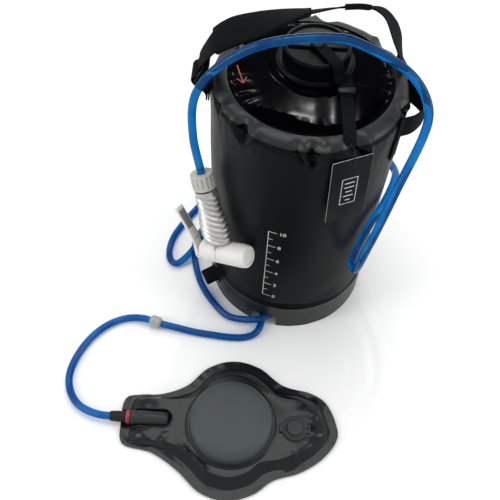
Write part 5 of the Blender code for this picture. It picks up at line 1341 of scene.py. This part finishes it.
FOLDS = (  # the folds that stand out: their runs, height and width
    (((-0.2133, -0.3100), (-0.1952, -0.3143), (-0.1779, -0.3132)), 0.0022, 0.0050),
    (((-0.1510, -0.2935), (-0.1577, -0.3133), (-0.1432, -0.3340), (-0.1202, -0.3510)), 0.0036, 0.0048),
    (((-0.1360, -0.3120), (-0.1200, -0.3300), (-0.1011, -0.3445), (-0.0886, -0.3671)), 0.0028, 0.0060),
    (((0.0579, -0.2299), (0.0493, -0.2571), (0.0616, -0.2835)), 0.0034, 0.0040),
    (((0.0224, -0.3165), (0.0097, -0.3453)), 0.0024, 0.0060),
    (((-0.0286, -0.2222), (-0.0026, -0.2400), (0.0256, -0.2440)), 0.0020, 0.0050))
FOLD_RUNS = [([p for p, _ in smooth([(x, y, 0) for x, y in run], 0.004)], height, width)
             for run, height, width in FOLDS]


def standing_folds(point):
    """The folds at a point: a sharp crest that falls off to both sides and fades at its ends."""
    height = 0.0
    for run, crest, width in FOLD_RUNS:
        near = min(range(len(run)), key=lambda i: (run[i] - point).length)
        away = (run[near] - point).length / width
        end = ease(min(near, len(run) - 1 - near) / (0.25 * len(run)))
        height += crest * math.exp(-1.2 * away) * (0.25 + 0.75 * end)
    return height


def pump_height(point, margin):
    """Height of the top sheet: flat on its welded rim, then up, with folds towards the ears."""
    local = point - PUMP
    rise = 0.0118 * ease((margin - WELD) / 0.0210) ** 0.8
    away = clamp((local.length - 0.070) / 0.05)
    fold = 0.0042 * fabric(20 * local.x, 46 * local.y, 0.0, 4.0)
    fold -= 0.0030 * abs(fabric(38 * local.x, 30 * local.y, 0.0, 5.0))
    fold *= away * ease((margin - 0.012) / 0.012)
    ripple = 0.0007 * fabric(90 * local.x, 90 * local.y, 0.0, 6.0) * ease(1.0 - margin / 0.02)
    crease = 0.0009 * math.exp(-((margin - 0.0125) / 0.0012) ** 2)
    standing = standing_folds(point) * ease((margin - 0.006) / 0.008)
    return 0.0033 + rise + min(fold + 0.0008, 0.0022) + standing + max(ripple, -0.0002) - crease


def inset(point, margin):
    """A point of the outline, moved towards the dome."""
    inwards = PUMP - point
    return point + inwards.normalized() * min(margin, inwards.length - 0.060)


SHEET = 0.0014  # thickness of the top sheet
DOME_EDGE = 0.0582  # radius at which the top sheet ends under the dome's ring
MARGINS = (0.0, 0.0008, 0.002, 0.004, 0.006, 0.008, 0.010, 0.0115, 0.0125, 0.0135, 0.0145, 0.016, 0.018,
           0.020, 0.0225, 0.025)
rings = [([inset(point, margin) for point in outline], margin) for margin in MARGINS]
inner_ring = rings[-1][0]
for i in range(1, 13):
    share = 0.08 * i
    ring = []
    for point in inner_ring:
        target = PUMP + (point - PUMP).normalized() * DOME_EDGE
        ring.append(point.lerp(target, share if i < 12 else 1.0))
    rings.append((ring, MARGINS[-1] + share * 0.06))
points = [Vector((p.x, p.y, pump_height(p, margin))) for ring, margin in rings for p in ring]
top_skin = mesh_of(points, ring_faces(EDGE_COUNT, len(rings) - 1))
top_skin = changed(top_skin, ("SOLIDIFY", {"thickness": SHEET, "offset": -1.0}))
VALVE_Y, VALVE_Z = -0.2805, 0.0118
WINDOW = 0.0128  # half the width of the cut-out for the valve
WINDOW_LEFT, WINDOW_RIGHT = -0.2385, -0.1620
PLUG = Vector((0.0187, -0.2843, 0.0))
window = arc(WINDOW_RIGHT, VALVE_Y, WINDOW, -90, 90, 12)
window = [(WINDOW_LEFT, VALVE_Y - WINDOW)] + window + [(WINDOW_LEFT, VALVE_Y + WINDOW)]
socket = turned(mm((0, 10), (11.2, 10), (11.2, 30), (0, 30)), PLUG, sides=48)
top_skin = cut(top_skin, plate(window, 0.0019, 0.030, edge=0.0001), socket)
piece("pump_top_sheet", top_skin, SKIN, "pump_sheet", ["pump_top_skin"])
base_skin = plate([(p.x, p.y) for p in outline], 0.0002, 0.0015, edge=0.0004)
piece("pump_base_sheet", base_skin, SKIN, "pump_sheet", ["pump_base_skin"])

BEAD_END = -0.2175  # where the bead round the valve stops at the left
bead_path = [Vector((max(x, BEAD_END), y, 0)) for x, y in window]
bead = []
for point, _ in smooth(bead_path, 0.003):
    reach = min((point - q).length for q in outline)
    bead.append(Vector((point.x, point.y, pump_height(point, min(0.03, reach)) + 0.0004)))
tube("valve_bead", bead, 0.0011, SKIN)

# %% [markdown]
# ## Dome
#
# The foot presses the dome, which squashes against a spring; its sheet can't slide down through the ring.
# Here the dome, its ring and the spring are made at rest, and dome and spring each get a mesh of their own.

# %% Dome, ring and spring
dome_profile = mm((0, 40.2), (20, 40.1), (39, 39.9), (47, 39.2), (51.5, 37.4), (54.5, 34.2), (55.8, 30),
                  (56.2, 24), (56.2, 13.3), (59.8, 13.1), (59.8, 11.9), (54.7, 11.9), (54.7, 29), (53, 34),
                  (49, 37.2), (39, 38.4), (0, 38.6))


def dome_wave(angle, r, z):
    """A little unevenness of the dome's sheet."""
    return r * (1 + 0.0010 * fabric(4 * math.cos(angle), 4 * math.sin(angle), 20 * z))


dome = turned(dome_profile, PUMP, sides=160, edge=0.0016, wave=dome_wave)
dome = piece("dome_sheet", dome, DOME, "pump_dome", ["pump_dome"])
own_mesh(dome)
ring_profile = mm((56.6, 13.6), (57.3, 13.6), (57.3, 15.3), (62.8, 15.4), (62.4, 16.8), (60, 17.6),
                  (58.5, 17.2), (56.6, 17.5))
piece("dome_rim", turned(ring_profile, PUMP, sides=160), SKIN, "pump_sheet", ["dome_ring"])
COIL_R, COIL_LOW, COIL_HIGH, COIL_TURNS = 0.0220, 0.0029, 0.0344, 5
coil = [PUMP + polar(COIL_R, math.tau * i / 16, COIL_LOW + (COIL_HIGH - COIL_LOW) * i / (16 * COIL_TURNS))
        for i in range(16 * COIL_TURNS + 1)]
spring = baked(placed("coil", rod("coil", coil, 0.0010)))
spring = piece("pump_coil", spring, STEEL, "steel", ["return_spring"])
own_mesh(spring)

# %% [markdown]
# ## Outlet valve
#
# At the left of the pump a grey tube lets the air out into the hose; a red ring and a black sleeve hold
# the hose on. All three are turned about one axis that lies along x.

# %% Outlet valve
along_x = (1, 0, 0)
valve_at = (0.0, VALVE_Y, VALVE_Z)
body = mm((3, -220), (4.2, -220), (4.2, -206), (9, -206), (10, -204.5), (10, -199), (9.4, -198.4),
          (9.4, -196.2), (10, -195.6), (10, -160), (9.4, -157), (8, -154.8), (6.2, -154), (5.8, -157),
          (3, -158))
piece("outlet_tube", turned(body, valve_at, along_x), VALVE, "valve_plastic", ["outlet_valve_body"])
red = mm((4.6, -212.4), (8.6, -212.4), (9.6, -211.6), (9.8, -209.5), (9.6, -207.2), (8.8, -206.4),
         (4.6, -206.4))
piece("red_ring", turned(red, valve_at, along_x, edge=0.0005), RED, "red_plastic", ["outlet_ring"])
cuff = mm((5, -234.4), (6.4, -234.4), (7, -230), (7.4, -223.5), (7.5, -218), (7.5, -212.8), (4.6, -212.8))
piece("hose_cuff", turned(cuff, valve_at, along_x, edge=0.0008), RUBBER, "black_plastic", ["hose_sleeve"])

# %% [markdown]
# ## Intake plug
#
# At the right a cap closes the intake. Its disc, hinge tab and pull tab are melted together like the
# head's shapes, and a small hole is cut into the pull tab.

# %% Intake plug
seat = mm((9, 9.6), (10.8, 9.6), (10.8, 15.3), (18, 15.4), (18.5, 16.2), (18, 17.2), (16.8, 17.4),
          (9, 17.4))
piece("plug_rim", turned(seat, PLUG), VALVE, "valve_plastic")
disc = turned(mm((0, 14), (6.8, 14), (8.4, 17.6), (17, 17.8), (17.5, 18.6), (17, 20), (14.8, 20.2),
                 (14, 19.6), (11.8, 19.7), (11.2, 22.6), (10, 23.2), (0, 23.3)), PLUG)
hinge_tab = block((-0.0030, PLUG.y - 0.0060, 0.0177), (0.0080, PLUG.y + 0.0060, 0.0195), edge=0.0007)
pull_tab = block((0.0300, PLUG.y - 0.0060, 0.0180), (0.0400, PLUG.y + 0.0060, 0.0198), edge=0.0008)
plug = fused([disc, hinge_tab, pull_tab], 0.00045, 3)
eyelet = turned(mm((0, 10), (1.8, 10), (1.8, 30), (0, 30)), (0.0362, PLUG.y, 0), sides=24)
piece("plug_disc", cut(plug, eyelet), VALVE, "valve_plastic", ["plug_cap"], "plug")

# %% [markdown]
# ## One-way valve
#
# A clear shell sits between the two pump hoses. It is turned about the direction of the hose at that
# place.

# %% One-way valve
CHECK = Vector((-0.1915, -0.1300, 0.0094))
CHECK_AXIS = Vector((0.964, -0.264, 0.0)).normalized()
shell = mm((5.3, -8.8), (6.3, -8.8), (7.5, -7.2), (8.8, -5.8), (9, -5), (9, -1), (8.6, -0.6), (8.6, 0.6),
           (9, 1), (9, 5), (8.8, 5.8), (7.5, 7.2), (6.3, 8.8), (5.3, 8.8), (5.3, 6.8), (6.2, 5.2),
           (6.2, -5.2), (5.3, -6.8))
shell = turned(shell, CHECK, CHECK_AXIS, edge=0.0004)
piece("one_way_shell", shell, CLEAR, "clear_plastic", ["check_valve_body"])

# %% [markdown]
# ## Finishes of the solids that stay
#
# Small pieces whose solids are already right keep their shape and only take a finish from the list above.

# %% Solids that stay
KEPT = {
    BLACK: ("outlet_elbow", "outlet_nut", "inlet_elbow", "inlet_nut", "hose_barb", "pressure_plate"),
    RUBBER: ("cap_gasket", "outlet_washer", "inlet_washer", "valve_seal", "nut_washer", "outlet_flap",
             "intake_flap", "check_valve_disc"),
    STEEL: ("lever_pin", "valve_stem", "valve_spring"),
    VALVE: ("plug_seat",),
    PALE: ("spray_plate",),
}
for finish, names in KEPT.items():
    for name in names:
        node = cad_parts[name]
        node.data.materials.clear()
        node.data.materials.append(finish.material)
print("kept", sum(len(names) for names in KEPT.values()), "solids")

# %% [markdown]
# ## Floor
#
# The floor is a pale sheet that catches the shadow. With distance it fades into a plain white glow, but
# only for rays from the camera, so that no horizon shows in low views and the light in the scene stays as
# it is.

# %% Floor
corners = [(x, y, -0.0004) for x, y in ((-4, -4), (4, -4), (4, 4), (-4, 4))]
floor = placed("floor", mesh_of(corners, [(0, 1, 2, 3)]))
paper = Finish("floor paper", (0.86, 0.86, 0.86), 0.9, Specular_IOR_Level=0.1)
paper.bump(paper.noise(300.0), 0.0001)
away = paper.node("ShaderNodeVectorMath", {"operation": "LENGTH"}, {0: paper.place()}, "Value")
seen = paper.node("ShaderNodeLightPath", output="Is Camera Ray")
glow = paper.node("ShaderNodeEmission", {}, {"Color": (1.0, 1.0, 1.0, 1.0), "Strength": 1.0})
FADE_FROM, FADE_TO = 0.55, 1.30  # distances from the middle of the floor
sheet = Signal(paper, paper.shader.outputs[0])
share = away.between(FADE_FROM, FADE_TO) * seen
surface = paper.node("ShaderNodeMixShader", {}, {0: share, 1: sheet, 2: glow})
paper.feed(paper.tree.nodes["Material Output"].inputs["Surface"], surface)
floor.data.materials.append(paper.material)
print("the floor fades to white from", FADE_FROM, "to", FADE_TO, "m")

# %% [markdown]
# ## Lamps and background
#
# Two large soft lamps give the grey bands down the wall, one more lights it from above, and three small
# hard ones make the glints on the panel. The background is plain white for the camera and for what gloss
# and clear plastic mirror, and weaker for the light that it sheds, by the kind of ray that asks.


# %% Lamps and background
def lamp(name, location, target, size, power):
    """A rectangular lamp that faces a target."""
    data = bpy.data.lights.new(name, "AREA")
    data.shape = "RECTANGLE"
    data.size, data.size_y = size
    data.energy = power
    obj = placed(name, data)
    obj.location = location
    obj.rotation_euler = (Vector(target) - Vector(location)).to_track_quat("-Z", "Y").to_euler()


lamp("left_softbox", (-1.30, -0.60, 0.95), (0, 0, 0.2), (0.5, 1.2), 9.0)
lamp("right_softbox", (1.30, -0.35, 0.95), (0, 0, 0.2), (0.5, 1.2), 9.0)
lamp("top_softbox", (-0.10, 0.30, 1.80), (0, -0.1, 0.1), (1.2, 0.9), 12.0)
GLINTS = (("glint_middle", 0.086, 0.919, 0.035, 2.6), ("glint_left", -0.085, 0.934, 0.02, 1.0),
          ("glint_right", 0.255, 0.892, 0.02, 0.8))
for name, x, y, width, power in GLINTS:
    lamp(name, (x, y, 1.35), (0, 0, 0.38), (width, 0.012), power)

world = bpy.data.worlds.new("studio")
bpy.context.scene.world = world
world.use_nodes = True
background = world.node_tree.nodes["Background"]
background.inputs["Color"].default_value = (1, 1, 1, 1)
AMBIENT = 0.62  # how strong the background is for the light that it sheds
studio = Nodes(world.node_tree)
camera_ray = studio.node("ShaderNodeLightPath", output="Is Camera Ray")
seen = camera_ray.math("MAXIMUM", camera_ray.other("Is Glossy Ray"))
seen = seen.math("MAXIMUM", camera_ray.other("Is Transmission Ray"))
studio.feed(background.inputs["Strength"], seen * (1.0 - AMBIENT) + AMBIENT)
bpy.context.scene.view_settings.view_transform = "Standard"
print("lamps:", len(bpy.data.lights))
